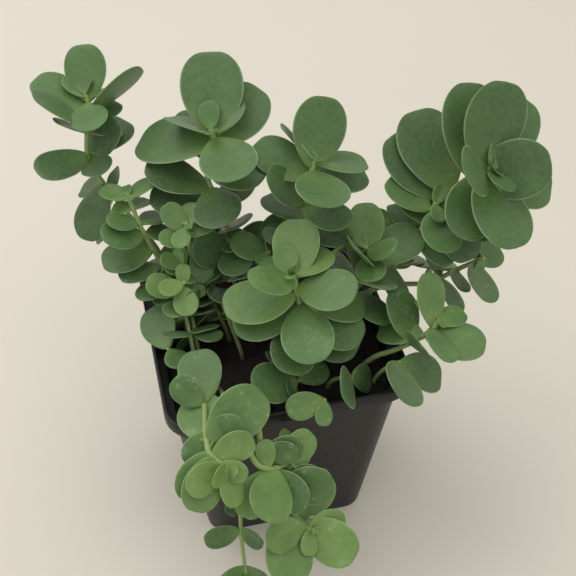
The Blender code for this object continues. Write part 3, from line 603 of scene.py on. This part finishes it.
def across_to(side, axis):
    """The part of a direction that stands square to an axis."""
    return (side - axis * side.dot(axis)).normalized()


# %% [markdown]
# ## A plain leaf, and how leaves give way
#
# Real leaves never pass through each other: one that meets a neighbour is pushed aside as it
# grows. So before the fine leaves are made, the plant is grown once with plain ones. Each leaf
# in turn is tried where it was measured, and if it would cut into a leaf of another stem, the
# pot or the soil, it is lifted or swung a little further until it is clear.


# %% The plain leaf and the growing
def blade_width(share, length):
    """Half-width of a leaf as a share of its greatest, at a share of its length.

    A young leaf has a broad root.
    """
    if share < WIDEST_AT:
        root = LEAF_ROOT + YOUNG_ROOT * max(0.0, 1 - length / YOUNG_LENGTH)
        return root + (1 - root) * math.sin(math.pi / 2 * share / WIDEST_AT) ** 1.4
    return math.sqrt(1 - ((share - WIDEST_AT) / (1 - WIDEST_AT)) ** 2)


class Leaf(NamedTuple):
    """One leaf: where it leaves the stem, which way it points and faces, its shape, and its drop."""

    base: Vector
    along: Vector
    face: Vector
    length: float
    cup: float
    bend: float
    drop: float


def sections(length):
    """Where along its length a leaf's sections stand, and how many corners each has."""
    if length > LARGE_LEAF:
        return LARGE_SECTIONS, 4
    if length < TINY_LEAF:
        return TINY_SECTIONS, 3
    return SMALL_SECTIONS, 3


def blade_thickness(share, length):
    """Thickness of a leaf at a share of its length. A small leaf and a tip are thinner."""
    return LEAF_THICKNESS * min(1.0, 0.5 + length / 40) * (1 - TIP_THINNING * share)


def blade(leaf, start=0.0, grow=0.0):
    """Points and faces of a cupped blade with a sharp rim. A small one is flat on top."""
    stations, corners = sections(leaf.length)
    up = across_to(leaf.face, leaf.along)
    side = up.cross(leaf.along)
    half = leaf.length * LEAF_WIDTH / 2
    points = []
    for share in stations:
        if share < start:
            continue
        width = half * blade_width(share, leaf.length) + grow
        thick = blade_thickness(share, leaf.length) / 2 + grow
        middle = leaf.base + leaf.along * leaf.length * share + up * leaf.bend * leaf.length * share ** 2
        rim = middle + up * leaf.cup * width
        ring = [rim - side * width, middle - up * thick, rim + side * width, middle + up * thick]
        points += ring[:corners]
    tip = len(points)
    points.append(leaf.base + leaf.along * (leaf.length + grow) + up * leaf.bend * leaf.length)
    faces = [tuple(reversed(range(corners)))]
    for low in range(0, tip, corners):
        for corner in range(corners):
            a = low + corner
            b = low + (corner + 1) % corners
            closing = low + corners == tip
            faces.append((a, b, tip) if closing else (a, b, b + corners, a + corners))
    return points, faces


class Solid(NamedTuple):
    """Something that the leaves of other stems stay clear of."""

    owner: str
    centre: Vector
    reach: float
    tree: BVHTree


def solid_of(owner, points, faces):
    """A solid with the ball that holds it, for a quick first test."""
    centre = sum(points, Vector()) / len(points)
    reach = max((point - centre).length for point in points)
    return Solid(owner, centre, reach, BVHTree.FromPolygons(points, faces))


def solid_of_object(made):
    """The solid of an object, in millimetres."""
    points = [vertex.co / MM for vertex in made.data.vertices]
    return solid_of(made.name, points, [tuple(face.vertices) for face in made.data.polygons])


def meets(solid, others):
    """Whether a solid crosses any of the others."""
    for other in others:
        if (solid.centre - other.centre).length < solid.reach + other.reach:
            if solid.tree.overlap(other.tree):
                return True
    return False


def ways_to_give():
    """How a leaf may give way: degrees lifted, degrees swung sideways and a share of its length."""
    ways = []
    for size in GIVE_LENGTHS:
        for reach in GIVE_DEGREES:
            for part in range(GIVE_DIRECTIONS if reach else 1):
                angle = 2 * math.pi * part / GIVE_DIRECTIONS
                ways.append((reach * math.sin(angle), reach * math.cos(angle), size))
    return ways


def turned(leaf, lift, swing, size):
    """A leaf tilted up towards its face, swung sideways and scaled in length."""
    up = across_to(leaf.face, leaf.along)
    side = up.cross(leaf.along)
    lifted = Matrix.Rotation(math.radians(-lift), 3, side)
    tilt = lifted @ Matrix.Rotation(math.radians(swing), 3, up)
    return leaf._replace(along=tilt @ leaf.along, face=tilt @ leaf.face, length=leaf.length * size)


# %% Planning and growing
def measured_leaf(stem, drop, seen, base, axis, dice):
    """A leaf whose tip was seen, turned a little to the light."""
    reach = leaf_tip(base, seen) - base
    along = reach.normalized()
    facing = axis + LIGHT * stem.lit * min(1.0, drop / LIGHT_FROM_DROP)
    facing = Matrix.Rotation(math.radians(seen.turn), 3, along) @ facing
    youth = max(0.0, 1 - reach.length / CUPPED_LENGTH)
    cup = LEAF_CUP + YOUNG_CUP * youth + dice.uniform(0, 0.08)
    bend = dice.uniform(-0.06, 0.04)
    return Leaf(base + along * ROOT_OFFSET, along, facing, reach.length, cup, bend, drop)


def hidden_leaf(stem, drop, roll, base, axis, dice):
    """A leaf that nobody sees, opened out from the stem at a turn round it."""
    side = across_to(Vector((1, 0.4, 0)), axis)
    out = Matrix.Rotation(math.radians(roll + dice.uniform(-15, 15)), 3, axis) @ side
    opening = math.radians(HIDDEN_OPENING + dice.uniform(-8, 8))
    along = axis * math.cos(opening) + out * math.sin(opening)
    facing = axis + LIGHT * HIDDEN_LIGHT
    length = stem.size * dice.uniform(0.85, 1.1)
    bend = dice.uniform(-0.08, 0.02)
    return Leaf(base + along * ROOT_OFFSET, along, facing, length, HIDDEN_CUP, bend, drop)


def planned_leaves(stem, path, dice):
    """The leaves of a stem before any gives way, from the youngest pair down."""
    leaves = []
    for drop, *pair in stem.pairs:
        base, axis = path.at(drop)
        for seen in pair:
            leaves.append(measured_leaf(stem, drop, seen, base, axis, dice))
    drop = stem.pairs[-1][0]
    for number in range(1, stem.more + 1):
        drop += HIDDEN_SPACING + dice.uniform(-1, 1)
        base, axis = path.at(drop)
        for half in (0, 180):
            leaves.append(hidden_leaf(stem, drop, 90 * number + half, base, axis, dice))
    return leaves


def grow_leaves(stem, path, solids, ways):
    """The leaves of one stem, each bent clear of its neighbours, or left off if nothing clears it."""
    dice = random.Random(stem.name)
    others = [solid for solid in solids if solid.owner != stem.name]
    grown = []
    mine = []
    for planned in planned_leaves(stem, path, dice):
        for way in ways:
            leaf = turned(planned, *way)
            if meets(solid_of(stem.name, *blade(leaf, 0.0, LEAF_CLEARANCE)), others):
                continue
            outer = solid_of(stem.name, *blade(leaf, OWN_LEAF_START, OWN_LEAF_MARGIN))
            if meets(outer, mine):
                continue
            mine.append(outer)
            grown.append(leaf)
            solids.append(solid_of(stem.name, *blade(leaf)))
            break
    return grown


# %% The plain stem, which leaves also stay clear of
def stem_rings(stem, path):
    """Rings round a stem, from its foot in the soil to its tip."""
    rings = []
    side = Vector((1, 0.13, 0))
    for drop in reversed(path.drops):
        point, axis = path.at(drop)
        side = across_to(side, axis)
        across = axis.cross(side)
        radius = stem.thickness / 2 * (STEM_TAPER + (1 - STEM_TAPER) * drop / path.length)
        ring = []
        for i in range(STEM_SIDES):
            angle = 2 * math.pi * i / STEM_SIDES
            ring.append(point + (side * math.cos(angle) + across * math.sin(angle)) * radius)
        rings.append(ring)
    return rings


def stem_solids(stem, rings):
    """One solid for each stretch of a stem above the soil."""
    count = STEM_SIDES
    faces = [(i, (i + 1) % count, (i + 1) % count + count, i + count) for i in range(count)]
    return [solid_of(stem.name, low + high, faces) for low, high in zip(rings[1:], rings[2:])]


def grow_plant():
    """The path and the leaves of every stem, by name."""
    solids = [solid_of_object(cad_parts["pot"]), solid_of_object(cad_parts["soil"])]
    paths = {stem.name: Path(stem) for stem in stems}
    for stem in stems:
        solids += stem_solids(stem, stem_rings(stem, paths[stem.name]))
    ways = ways_to_give()
    leaves = {stem.name: grow_leaves(stem, paths[stem.name], solids, ways) for stem in stems}
    return paths, leaves


paths, leaves = grow_plant()
print("leaves:", sum(len(grown) for grown in leaves.values()))

# %% [markdown]
# ## One fine leaf
#
# A sedum leaf is a plump, rounded paddle: narrow where it joins the stem, widest past its middle,
# with a soft rounded rim and a faint groove over its midrib. It could be sculpted, or cut from a
# sheet. Here it is drawn out like clay: a small ring at the root is pulled forward a step at a
# time, and made wider or narrower after each pull. A subdivision modifier then rounds it all.
#
# The leaf is modelled once. Every leaf of the plant is a copy of it, with its own mesh.

# %% Leaf modelling
MODEL_LENGTH = 30.0
MODEL_SIDES = 16
PULLS = (0.05, 0.13, 0.22, 0.32, 0.43, 0.54, 0.65, 0.76, 0.86, 0.935, 0.98)
GROOVE_DEPTH = 0.16
FINE_WIDEST_AT = 0.57
FINE_SHOULDER = 0.8


def deselect_all():
    if bpy.context.mode != "OBJECT":
        bpy.ops.object.mode_set(mode="OBJECT")
    bpy.ops.object.select_all(action="DESELECT")


def select_vertices(obj, wanted):
    """Selects the vertices whose place answers true, in edit mode."""
    bpy.ops.object.mode_set(mode="OBJECT")
    for vertex in obj.data.vertices:
        vertex.select = wanted(vertex.co)
    bpy.ops.object.mode_set(mode="EDIT")


def apply_all(obj):
    """Applies the object's modifiers in order."""
    bpy.context.view_layer.objects.active = obj
    for modifier in list(obj.modifiers):
        bpy.ops.object.modifier_apply(modifier=modifier.name)


def fine_width(share, length):
    """Half-width of the fine leaf as a share of its greatest, with fuller shoulders than the plain one."""
    if share < FINE_WIDEST_AT:
        root = LEAF_ROOT + YOUNG_ROOT * max(0.0, 1 - length / YOUNG_LENGTH)
        return root + (1 - root) * math.sin(math.pi / 2 * share / FINE_WIDEST_AT) ** FINE_SHOULDER
    return math.sqrt(max(0.01, 1 - ((share - FINE_WIDEST_AT) / (1 - FINE_WIDEST_AT)) ** 2.3))


def leaf_section(share):
    """Half-width and half-thickness of the model leaf at a share of its length, in metres."""
    width = MODEL_LENGTH * LEAF_WIDTH / 2 * fine_width(share, MODEL_LENGTH)
    thickness = LEAF_THICKNESS / 2 * (1 - 0.35 * share)
    if share > WIDEST_AT:
        thickness *= math.sqrt(max(0.1, 1 - ((share - WIDEST_AT) / (1 - WIDEST_AT)) ** 4))
    return width * MM, thickness * MM


def model_leaf():
    """A leaf that lies along +Y with its upper side up."""
    deselect_all()
    width, thickness = leaf_section(0)
    bpy.ops.mesh.primitive_circle_add(
        vertices=MODEL_SIDES, radius=width, fill_type="NGON", rotation=(math.pi / 2, 0, 0)
    )
    leaf = bpy.context.object
    leaf.name = "model_leaf"
    bpy.ops.object.transform_apply(location=True, rotation=True, scale=True)
    bpy.ops.object.mode_set(mode="EDIT")
    bpy.ops.mesh.select_mode(type="FACE")
    bpy.ops.mesh.select_all(action="SELECT")
    bpy.ops.transform.resize(value=(1, 1, thickness / width), center_override=(0, 0, 0))
    reached = 0.0
    for share in PULLS:
        step = (share - reached) * MODEL_LENGTH * MM
        bpy.ops.mesh.extrude_region_move(TRANSFORM_OT_translate={"value": (0, step, 0)})
        next_width, next_thickness = leaf_section(share)
        centre = (0, share * MODEL_LENGTH * MM, 0)
        bpy.ops.transform.resize(
            value=(next_width / width, 1, next_thickness / thickness), center_override=centre
        )
        width, thickness, reached = next_width, next_thickness, share
    bpy.ops.mesh.select_mode(type="VERT")
    middle = MODEL_LENGTH * MM * 0.02
    select_vertices(leaf, lambda co: abs(co.x) < middle and co.z > 0 and 0.1 < co.y / MM / MODEL_LENGTH < 0.9)
    bpy.ops.transform.translate(value=(0, 0, -GROOVE_DEPTH * LEAF_THICKNESS * MM))
    bpy.ops.mesh.select_all(action="SELECT")
    bpy.ops.mesh.normals_make_consistent(inside=False)
    bpy.ops.object.mode_set(mode="OBJECT")
    rounding = leaf.modifiers.new("rounding", "SUBSURF")
    rounding.levels = 1
    apply_all(leaf)
    bpy.ops.object.shade_smooth()
    return leaf


model = model_leaf()
print("the model leaf has", len(model.data.polygons), "faces and is",
      [round(side / MM, 1) for side in model.dimensions], "mm")

# %% [markdown]
# ## From the model leaf to every leaf
#
# A copy is bent into its place point by point. Its length runs along the measured direction, its
# width grows with its length, its sides curl up by its cup, and the whole leaf arches by its
# bend. Old leaves ripple a little at the rim. The four numbers that the leaf skin reads are
# written on the vertices at the same time.

# %% Copies of the leaf
# How fresh each stem's leaves look; a lower value gives darker leaves, partly for age and partly as painted shade.
FRESHNESS_AND_SHADE = {
    "stem_middle": 0.66, "stem_back": 0.42, "stem_back_right": 0.5, "stem_far_right": 0.44,
    "stem_back_left": 0.52, "stem_inner": 0.3, "stem_mid_right": 0.6, "stem_front_right": 0.62,
    "trail_right": 0.72, "trail_left": 0.78, "trail_middle": 0.76, "stem_left_rim": 0.4,
    "stem_left_front": 0.7, "stem_left": 0.58, "stem_left_inner": 0.64, "stem_left_small": 0.62,
    "stem_left_low": 0.66, "stem_mid_left": 0.5, "stem_right_shoot": 0.5, "stem_right_low": 0.52,
    "trail_long": 0.5, "shoot_front_middle": 0.4, "shoot_front_low": 0.36, "sprig": 0.6,
    "shoot_front_right": 0.42, "stem_right_inner": 0.4, "stem_back_inner": 0.34,
}
OLD_AT = 26.0
MARKED_BELOW = 122.0
MARKED_DEPTH = 30.0
MARKED_LEAST = 0.12


def add_number(mesh, name, values):
    attribute = mesh.attributes.new(name, "FLOAT", "POINT")
    attribute.data.foreach_set("value", values)


def place_leaf(leaf, freshness_and_shade, dice):
    """A copy of the model leaf, bent into the place and shape of one leaf."""
    made = model.copy()
    made.data = model.data.copy()
    bpy.context.scene.collection.objects.link(made)
    up = across_to(leaf.face, leaf.along)
    side = up.cross(leaf.along)
    half = leaf.length * LEAF_WIDTH / 2
    model_half = MODEL_LENGTH * LEAF_WIDTH / 2
    thickness = min(1.0, 0.5 + leaf.length / 40)
    sway = dice.uniform(-0.03, 0.03)
    ripple = 0.012 * leaf.length * min(1.0, leaf.drop / OLD_AT)
    phase = dice.uniform(0, 2 * math.pi)
    rims, shares, unders = [], [], []
    for vertex in made.data.vertices:
        co = vertex.co / MM
        share = min(1.0, max(0.0, co.y / MODEL_LENGTH))
        mature = fine_width(share, MODEL_LENGTH)
        widen = fine_width(share, leaf.length) / mature
        x = co.x / model_half * half * widen
        out = abs(co.x) / (model_half * mature)
        wave = ripple * math.sin(phase + share * 9 + (2 if co.x > 0 else 0)) * out * out
        rise = leaf.cup * abs(x) * min(1.0, out) + leaf.bend * leaf.length * share ** 2 + wave
        place = leaf.base + leaf.along * (share * leaf.length)
        place += side * (x + sway * leaf.length * share ** 2) + up * (co.z * thickness + rise)
        vertex.co = place * MM
        rims.append(max(min(1.0, out), share ** 6))
        shares.append(share)
        unders.append(1.0 if co.z < 0 else 0.0)
    count = len(rims)
    # Leaves lower on the stem get a darker fresh number, partly for age and partly as painted shade.
    youth = max(0.0, 1 - leaf.drop / OLD_AT)
    fresh = freshness_and_shade * (0.62 + 0.55 * youth) + dice.uniform(-0.06, 0.06)
    add_number(made.data, "rim", rims)
    add_number(made.data, "along", shares)
    add_number(made.data, "under", unders)
    add_number(made.data, "fresh", [fresh] * count)
    lowness = (MARKED_BELOW - leaf.base.z) / MARKED_DEPTH
    add_number(made.data, "marked", [min(1.0, max(MARKED_LEAST, lowness))] * count)
    made.data.materials.clear()
    made.data.materials.append(leaf_material)
    return made


# %% [markdown]
# ## Stem skin
#
# The stems are as soft and green as the leaves near their tips, and brown and corky near the soil.
# One ramp over the height does most of it, with noise to break its edge.

# %% Stem material
STEM_GREEN = linear("#8FA55F")
STEM_BROWN = linear("#5B4A33")


def make_stem_material():
    material, tree, shader, place = new_material("stem_skin")
    age = add_node(tree, "ShaderNodeAttribute", {"attribute_name": "fresh"}).outputs["Fac"]
    broad = noise(tree, place, 5, 3)
    fine = noise(tree, place, 0.9, 3)
    mixed = math_node(tree, "MULTIPLY_ADD", broad, 0.5)
    mixed.node.inputs[2].default_value = -0.25
    green = ramp(tree, math_node(tree, "ADD", age, mixed), (0.15, 0), (0.55, 1))
    body = blend_colours(tree, green, STEM_BROWN, STEM_GREEN)
    body = blend_colours(tree, math_node(tree, "MULTIPLY", fine, 0.3), body, LEAF_BLOOM)
    tree.links.new(body, shader.inputs["Base Color"])
    shader.inputs["Roughness"].default_value = 0.5
    shader.inputs["Subsurface Weight"].default_value = 0.08
    shader.inputs["Subsurface Scale"].default_value = 0.6 * MM
    bump(tree, shader, fine, 0.08)
    return material


stem_material = make_stem_material()

# %% [markdown]
# ## The stems
#
# A stem is a round tube that swells slightly at each pair of leaves. A curve with a thickness is
# the natural way to make one: it is drawn through the stem's points, given a radius at each, and
# turned into a mesh. Its leaves are then joined to it, so that each leafy stem is one piece and
# stands for one solid.

# %% Stems with their leaves
NODE_SWELL = 1.22
TUBE_ROUND = 3


def stem_line(stem, path):
    """Points along a stem from root to tip, each with its radius."""
    drops = set()
    for near, far in zip(path.drops, path.drops[1:]):
        steps = max(1, round((far - near) / 2.5))
        drops.update(near + (far - near) * step / steps for step in range(steps + 1))
    nodes = [pair[0] for pair in stem.pairs if pair[0] > 3]
    drops = sorted(drops | set(nodes), reverse=True)
    line = []
    for drop in drops:
        point, _ = path.at(drop)
        radius = stem.thickness / 2 * (STEM_TAPER + (1 - STEM_TAPER) * drop / path.length)
        if drop in nodes:
            radius *= NODE_SWELL
        line.append((point, radius, drop))
    smooth = list(line)
    for i in range(1, len(line) - 1):
        middle = line[i][0] * 0.5 + (line[i - 1][0] + line[i + 1][0]) * 0.25
        smooth[i] = (middle, line[i][1], line[i][2])
    return smooth


def make_tube(stem, path):
    deselect_all()
    bpy.ops.curve.primitive_nurbs_path_add()
    tube = bpy.context.object
    line = stem_line(stem, path)
    curve = tube.data
    spline = curve.splines[0]
    spline.points.add(len(line) - len(spline.points))
    for knot, (point, radius, _) in zip(spline.points, line):
        knot.co = (*(point * MM), 1)
        knot.radius = radius
    spline.order_u = 3
    spline.use_endpoint_u = True
    spline.resolution_u = 2
    curve.bevel_depth = MM
    curve.bevel_resolution = TUBE_ROUND
    curve.use_fill_caps = True
    bpy.ops.object.convert(target="MESH")
    tube = bpy.context.object
    tube.data.materials.clear()
    tube.data.materials.append(stem_material)
    tip, root = line[-1][0] * MM, line[0][0] * MM
    height = [min(1.0, (vertex.co - root).length / (tip - root).length) for vertex in tube.data.vertices]
    add_number(tube.data, "fresh", height)
    bpy.ops.object.shade_smooth()
    return tube


def make_leafy_stem(stem):
    tube = make_tube(stem, paths[stem.name])
    dice = random.Random(stem.name + " look")
    copies = [place_leaf(leaf, FRESHNESS_AND_SHADE[stem.name], dice) for leaf in leaves[stem.name]]
    deselect_all()
    for copy in copies:
        copy.select_set(True)
    tube.select_set(True)
    bpy.context.view_layer.objects.active = tube
    bpy.ops.object.join()
    tube.name = "leafy_" + stem.name
    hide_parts(stem.name)
    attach(tube, "root")
    return tube


leafy_stems = [make_leafy_stem(stem) for stem in stems]
bpy.data.objects.remove(model)
print("leafy stems:", len(leafy_stems), "faces:", sum(len(made.data.polygons) for made in leafy_stems))

# %% [markdown]
# ## Pot plastic
#
# Nursery pots are thin black plastic, pulled hot from a mould. The surface is almost smooth, with
# a soft shine, faint scuffs and a little dried dust that settles low down and near the rim.

# %% Pot material
PLASTIC_BLACK = linear("#0E0F0F")
PLASTIC_DUST = linear("#38332C")


def make_pot_material():
    material, tree, shader, place = new_material("pot_plastic")
    broad = noise(tree, place, 14, 4, 0.6)
    fine = noise(tree, place, 1.1, 3)
    dusty = ramp(tree, broad, (0.5, 0), (0.78, 1))
    dust = math_node(tree, "MULTIPLY", math_node(tree, "MULTIPLY", dusty, fine), 0.45)
    body = blend_colours(tree, dust, PLASTIC_BLACK, PLASTIC_DUST)
    tree.links.new(body, shader.inputs["Base Color"])
    rough = add_node(tree, "ShaderNodeMapRange", i0=fine, i3=0.34, i4=0.52).outputs[0]
    tree.links.new(rough, shader.inputs["Roughness"])
    shader.inputs["Specular IOR Level"].default_value = 0.35
    bump(tree, shader, noise(tree, place, 0.6, 2), 0.02)
    return material


# %% [markdown]
# ## The pot
#
# The pot is a thin square tub with rounded corners, wider at the top than at the base, with a
# deeper band at the rim that makes it stiff. It is drawn out of one flat square: the corners are
# rounded, and then the face is pulled up and scaled, step by step, up the outside, over the rim
# and down the inside. Small bevels catch the light along the edges, and a Boolean cuts the holes.


# %% Pot modelling
PULL_STEPS = (
    (POT_HEIGHT - LIP_HEIGHT, POT_RIM_WIDTH - 2 * LIP_OVERHANG),
    (POT_HEIGHT - LIP_HEIGHT, POT_RIM_WIDTH),
    (POT_HEIGHT, POT_RIM_WIDTH),
    (POT_HEIGHT, POT_RIM_WIDTH - 2 * POT_WALL),
    (POT_HEIGHT - LIP_HEIGHT + POT_WALL, POT_RIM_WIDTH - 2 * POT_WALL),
    (POT_HEIGHT - LIP_HEIGHT + POT_WALL, POT_RIM_WIDTH - 2 * LIP_OVERHANG - 2 * POT_WALL),
    (POT_WALL, POT_BASE_WIDTH - 2 * POT_WALL),
)


def make_pot():
    deselect_all()
    bpy.ops.mesh.primitive_plane_add(size=POT_BASE_WIDTH * MM)
    pot = bpy.context.object
    bpy.ops.object.mode_set(mode="EDIT")
    bpy.ops.mesh.bevel(affect="VERTICES", offset=BASE_CORNER_RADIUS * MM, segments=8)
    bpy.ops.mesh.select_mode(type="FACE")
    bpy.ops.mesh.select_all(action="SELECT")
    height, width = 0.0, POT_BASE_WIDTH
    for next_height, next_width in PULL_STEPS:
        rise = (next_height - height) * MM
        bpy.ops.mesh.extrude_region_move(TRANSFORM_OT_translate={"value": (0, 0, rise)})
        grow = next_width / width
        bpy.ops.transform.resize(value=(grow, grow, 1), center_override=(0, 0, next_height * MM))
        height, width = next_height, next_width
    bpy.ops.mesh.select_all(action="SELECT")
    bpy.ops.mesh.normals_make_consistent(inside=False)
    deselect_all()
    drills = []
    for x in (-DRAIN_HOLE_OFFSET, DRAIN_HOLE_OFFSET):
        for y in (-DRAIN_HOLE_OFFSET, DRAIN_HOLE_OFFSET):
            bpy.ops.mesh.primitive_cylinder_add(
                vertices=24, radius=DRAIN_HOLE_RADIUS * MM, depth=4 * POT_WALL * MM, location=(x * MM, y * MM, 0)
            )
            drills.append(bpy.context.object)
    for drill in drills:
        cut = pot.modifiers.new("drain hole", "BOOLEAN")
        cut.object = drill
        cut.operation = "DIFFERENCE"
        cut.solver = "EXACT"
    edges = pot.modifiers.new("soft edges", "BEVEL")
    edges.width = 0.35 * MM
    edges.segments = 2
    edges.limit_method = "ANGLE"
    edges.angle_limit = math.radians(40)
    apply_all(pot)
    for drill in drills:
        bpy.data.objects.remove(drill)
    deselect_all()
    pot.select_set(True)
    bpy.context.view_layer.objects.active = pot
    bpy.ops.object.shade_smooth_by_angle(angle=math.radians(35))
    pot.name = "nursery_pot"
    pot.data.materials.clear()
    pot.data.materials.append(make_pot_material())
    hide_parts("pot")
    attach(pot, "root")
    return pot


pot = make_pot()
print("pot:", [round(side / MM, 1) for side in pot.dimensions], "mm,", len(pot.data.polygons), "faces")

# %% [markdown]
# ## Soil
#
# Potting soil is a loose dark mix of peat, bits of bark and a few pale grains. A flat disc with a
# bump map would look painted on. So the surface is a fine grid that follows the same low waves as
# the solid, roughened by two displacements, and small clods are scattered on top of it.


# %% Soil material
SOIL_DARK = linear("#0E0C09")
SOIL_BROWN = linear("#2A2119")
SOIL_PALE = linear("#6B6355")


def make_soil_material():
    material, tree, shader, place = new_material("peat")
    broad = noise(tree, place, 5, 5, 0.65)
    fine = noise(tree, place, 0.8, 4, 0.7)
    body = blend_colours(tree, ramp(tree, fine, (0.35, 0), (0.7, 1)), SOIL_DARK, SOIL_BROWN)
    body = blend_colours(tree, ramp(tree, broad, (0.3, 0.8), (0.65, 0)), body, SOIL_DARK)
    grains = add_node(tree, "ShaderNodeTexVoronoi", i0=place, Scale=1000 / 2.2).outputs[0]
    pale = math_node(tree, "MULTIPLY", ramp(tree, grains, (0.1, 1), (0.16, 0)), ramp(tree, fine, (0.52, 0), (0.6, 1)))
    body = blend_colours(tree, math_node(tree, "MULTIPLY", pale, 0.6), body, SOIL_PALE)
    tree.links.new(body, shader.inputs["Base Color"])
    shader.inputs["Roughness"].default_value = 0.92
    bump(tree, shader, fine, 0.25)
    return material


# %% Soil modelling
SOIL_GRID = 120
CLODS = 420
CLOD_SIZES = (0.5, 1.9)


def soil_height(x, y):
    """Height of the uneven soil, from three crossing waves."""
    bump_height = math.sin(x * 0.31 + 1.0) + math.sin(y * 0.37 + 0.4) + math.sin((x + y) * 0.23)
    return SOIL_LEVEL + SOIL_BUMP * bump_height / 3


def into_rounded_square(x, y, half, radius):
    """The point itself inside a rounded square, or the nearest point of its edge."""
    x = max(-half, min(half, x))
    y = max(-half, min(half, y))
    reach = half - radius
    over_x, over_y = abs(x) - reach, abs(y) - reach
    if over_x > 0 and over_y > 0 and math.hypot(over_x, over_y) > radius:
        shrink = radius / math.hypot(over_x, over_y)
        x = math.copysign(reach + over_x * shrink, x)
        y = math.copysign(reach + over_y * shrink, y)
    return x, y


def inner_half(height):
    """Half the width of the pot's inside at a height."""
    low = POT_BASE_WIDTH / 2 - POT_WALL
    high = POT_RIM_WIDTH / 2 - LIP_OVERHANG - POT_WALL
    return low + (high - low) * (height - POT_WALL) / (POT_HEIGHT - LIP_HEIGHT)


def make_clod(material, dice, half):
    """A rough crumb that lies half sunk in the soil."""
    x = dice.uniform(-half, half)
    y = dice.uniform(-half, half)
    x, y = into_rounded_square(x, y, half, BASE_CORNER_RADIUS)
    size = CLOD_SIZES[0] + (CLOD_SIZES[1] - CLOD_SIZES[0]) * dice.random() ** 3
    bpy.ops.mesh.primitive_ico_sphere_add(subdivisions=1, radius=size * MM, location=(0, 0, 0))
    clod = bpy.context.object
    for vertex in clod.data.vertices:
        vertex.co *= dice.uniform(0.6, 1.1)
        vertex.co.z *= 0.7
        vertex.co += Vector((x, y, soil_height(x, y) + size * 0.1)) * MM
    clod.data.materials.append(material)
    return clod


def make_soil():
    material = make_soil_material()
    half = inner_half(SOIL_LEVEL) - 0.05
    deselect_all()
    bpy.ops.mesh.primitive_grid_add(x_subdivisions=SOIL_GRID, y_subdivisions=SOIL_GRID, size=2 * half * MM)
    soil = bpy.context.object
    for vertex in soil.data.vertices:
        x, y = into_rounded_square(vertex.co.x / MM, vertex.co.y / MM, half, BASE_CORNER_RADIUS + 1.5)
        vertex.co = Vector((x, y, soil_height(x, y))) * MM
    for size, strength in ((4.0, 1.3), (1.4, 0.8)):
        texture = bpy.data.textures.new("crumbs", "CLOUDS")
        texture.noise_scale = size * MM
        texture.noise_depth = 3
        rough = soil.modifiers.new("crumbs", "DISPLACE")
        rough.texture = texture
        rough.texture_coords = "LOCAL"
        rough.direction = "Z"
        rough.strength = strength * MM
    apply_all(soil)
    bpy.ops.object.mode_set(mode="EDIT")
    bpy.ops.mesh.select_mode(type="EDGE")
    bpy.ops.mesh.select_all(action="DESELECT")
    bpy.ops.mesh.select_non_manifold()
    depth = (SOIL_LEVEL - POT_WALL - GAP) * MM
    bpy.ops.mesh.extrude_region_move(TRANSFORM_OT_translate={"value": (0, 0, -depth)})
    shrink = (inner_half(POT_WALL) - GAP) / half
    bpy.ops.transform.resize(value=(shrink, shrink, 0), center_override=(0, 0, (POT_WALL + GAP) * MM))
    bpy.ops.mesh.edge_face_add()
    bpy.ops.mesh.select_all(action="SELECT")
    bpy.ops.mesh.normals_make_consistent(inside=False)
    deselect_all()
    soil.data.materials.append(material)
    dice = random.Random("clods")
    clods = [make_clod(material, dice, half - 1.5) for _ in range(CLODS)]
    deselect_all()
    for clod in clods:
        clod.select_set(True)
    soil.select_set(True)
    bpy.context.view_layer.objects.active = soil
    bpy.ops.object.join()
    bpy.ops.object.shade_smooth_by_angle(angle=math.radians(50))
    soil.name = "potting_soil"
    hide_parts("soil")
    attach(soil, "root")
    return soil


soil = make_soil()
print("soil:", [round(side / MM, 1) for side in soil.dimensions], "mm,", len(soil.data.polygons), "faces")

# %% [markdown]
# ## Floor, light and camera
#
# A pale floor and a large soft light keep the eye on the plant. The camera stands where the
# measuring viewpoint was, looking down at about 44 degrees.


# %% The stage
def make_floor():
    deselect_all()
    bpy.ops.mesh.primitive_plane_add(size=6)
    floor = bpy.context.object
    floor.name = "floor"
    material, tree, shader, place = new_material("floor_paint")
    grain = noise(tree, place, 160, 3)
    body = blend_colours(tree, grain, linear("#DCD7C9"), linear("#E2DDD0"))
    tree.links.new(body, shader.inputs["Base Color"])
    shader.inputs["Roughness"].default_value = 0.7
    floor.data.materials.append(material)
    return floor


def add_area_light(name, place, target, size, power, colour):
    data = bpy.data.lights.new(name, "AREA")
    data.size = size
    data.energy = power
    data.color = colour
    light = bpy.data.objects.new(name, data)
    bpy.context.scene.collection.objects.link(light)
    light.location = place
    light.rotation_mode = "QUATERNION"
    light.rotation_quaternion = (Vector(target) - Vector(place)).to_track_quat("-Z", "Y")
    return light


def set_stage():
    make_floor()
    world = bpy.data.worlds.new("soft sky")
    world.use_nodes = True
    background = world.node_tree.nodes["Background"]
    background.inputs["Color"].default_value = (1.0, 0.98, 0.95, 1)
    background.inputs["Strength"].default_value = 0.72
    bpy.context.scene.world = world
    add_area_light("window", (-0.35, 0.35, 0.95), (0, 0, 0.08), 0.9, 4.2, (1.0, 0.985, 0.955))
    add_area_light("room", (0.35, -0.5, 0.9), (0, 0, 0.08), 0.9, 1.0, (1.0, 0.98, 0.95))


def set_camera():
    data = bpy.data.cameras.new("camera")
    data.sensor_width = 36.0
    data.lens = data.sensor_width * EYE_FOCUS / (2 * FRAME_MIDDLE)
    data.clip_start = 0.01
    data.dof.use_dof = False
    camera = bpy.data.objects.new("camera", data)
    bpy.context.scene.collection.objects.link(camera)
    camera.location = EYE * MM
    camera.rotation_mode = "QUATERNION"
    camera.rotation_quaternion = AHEAD.to_track_quat("-Z", "Y")
    bpy.context.scene.camera = camera
    bpy.context.scene.view_settings.view_transform = "Standard"


set_stage()
set_camera()
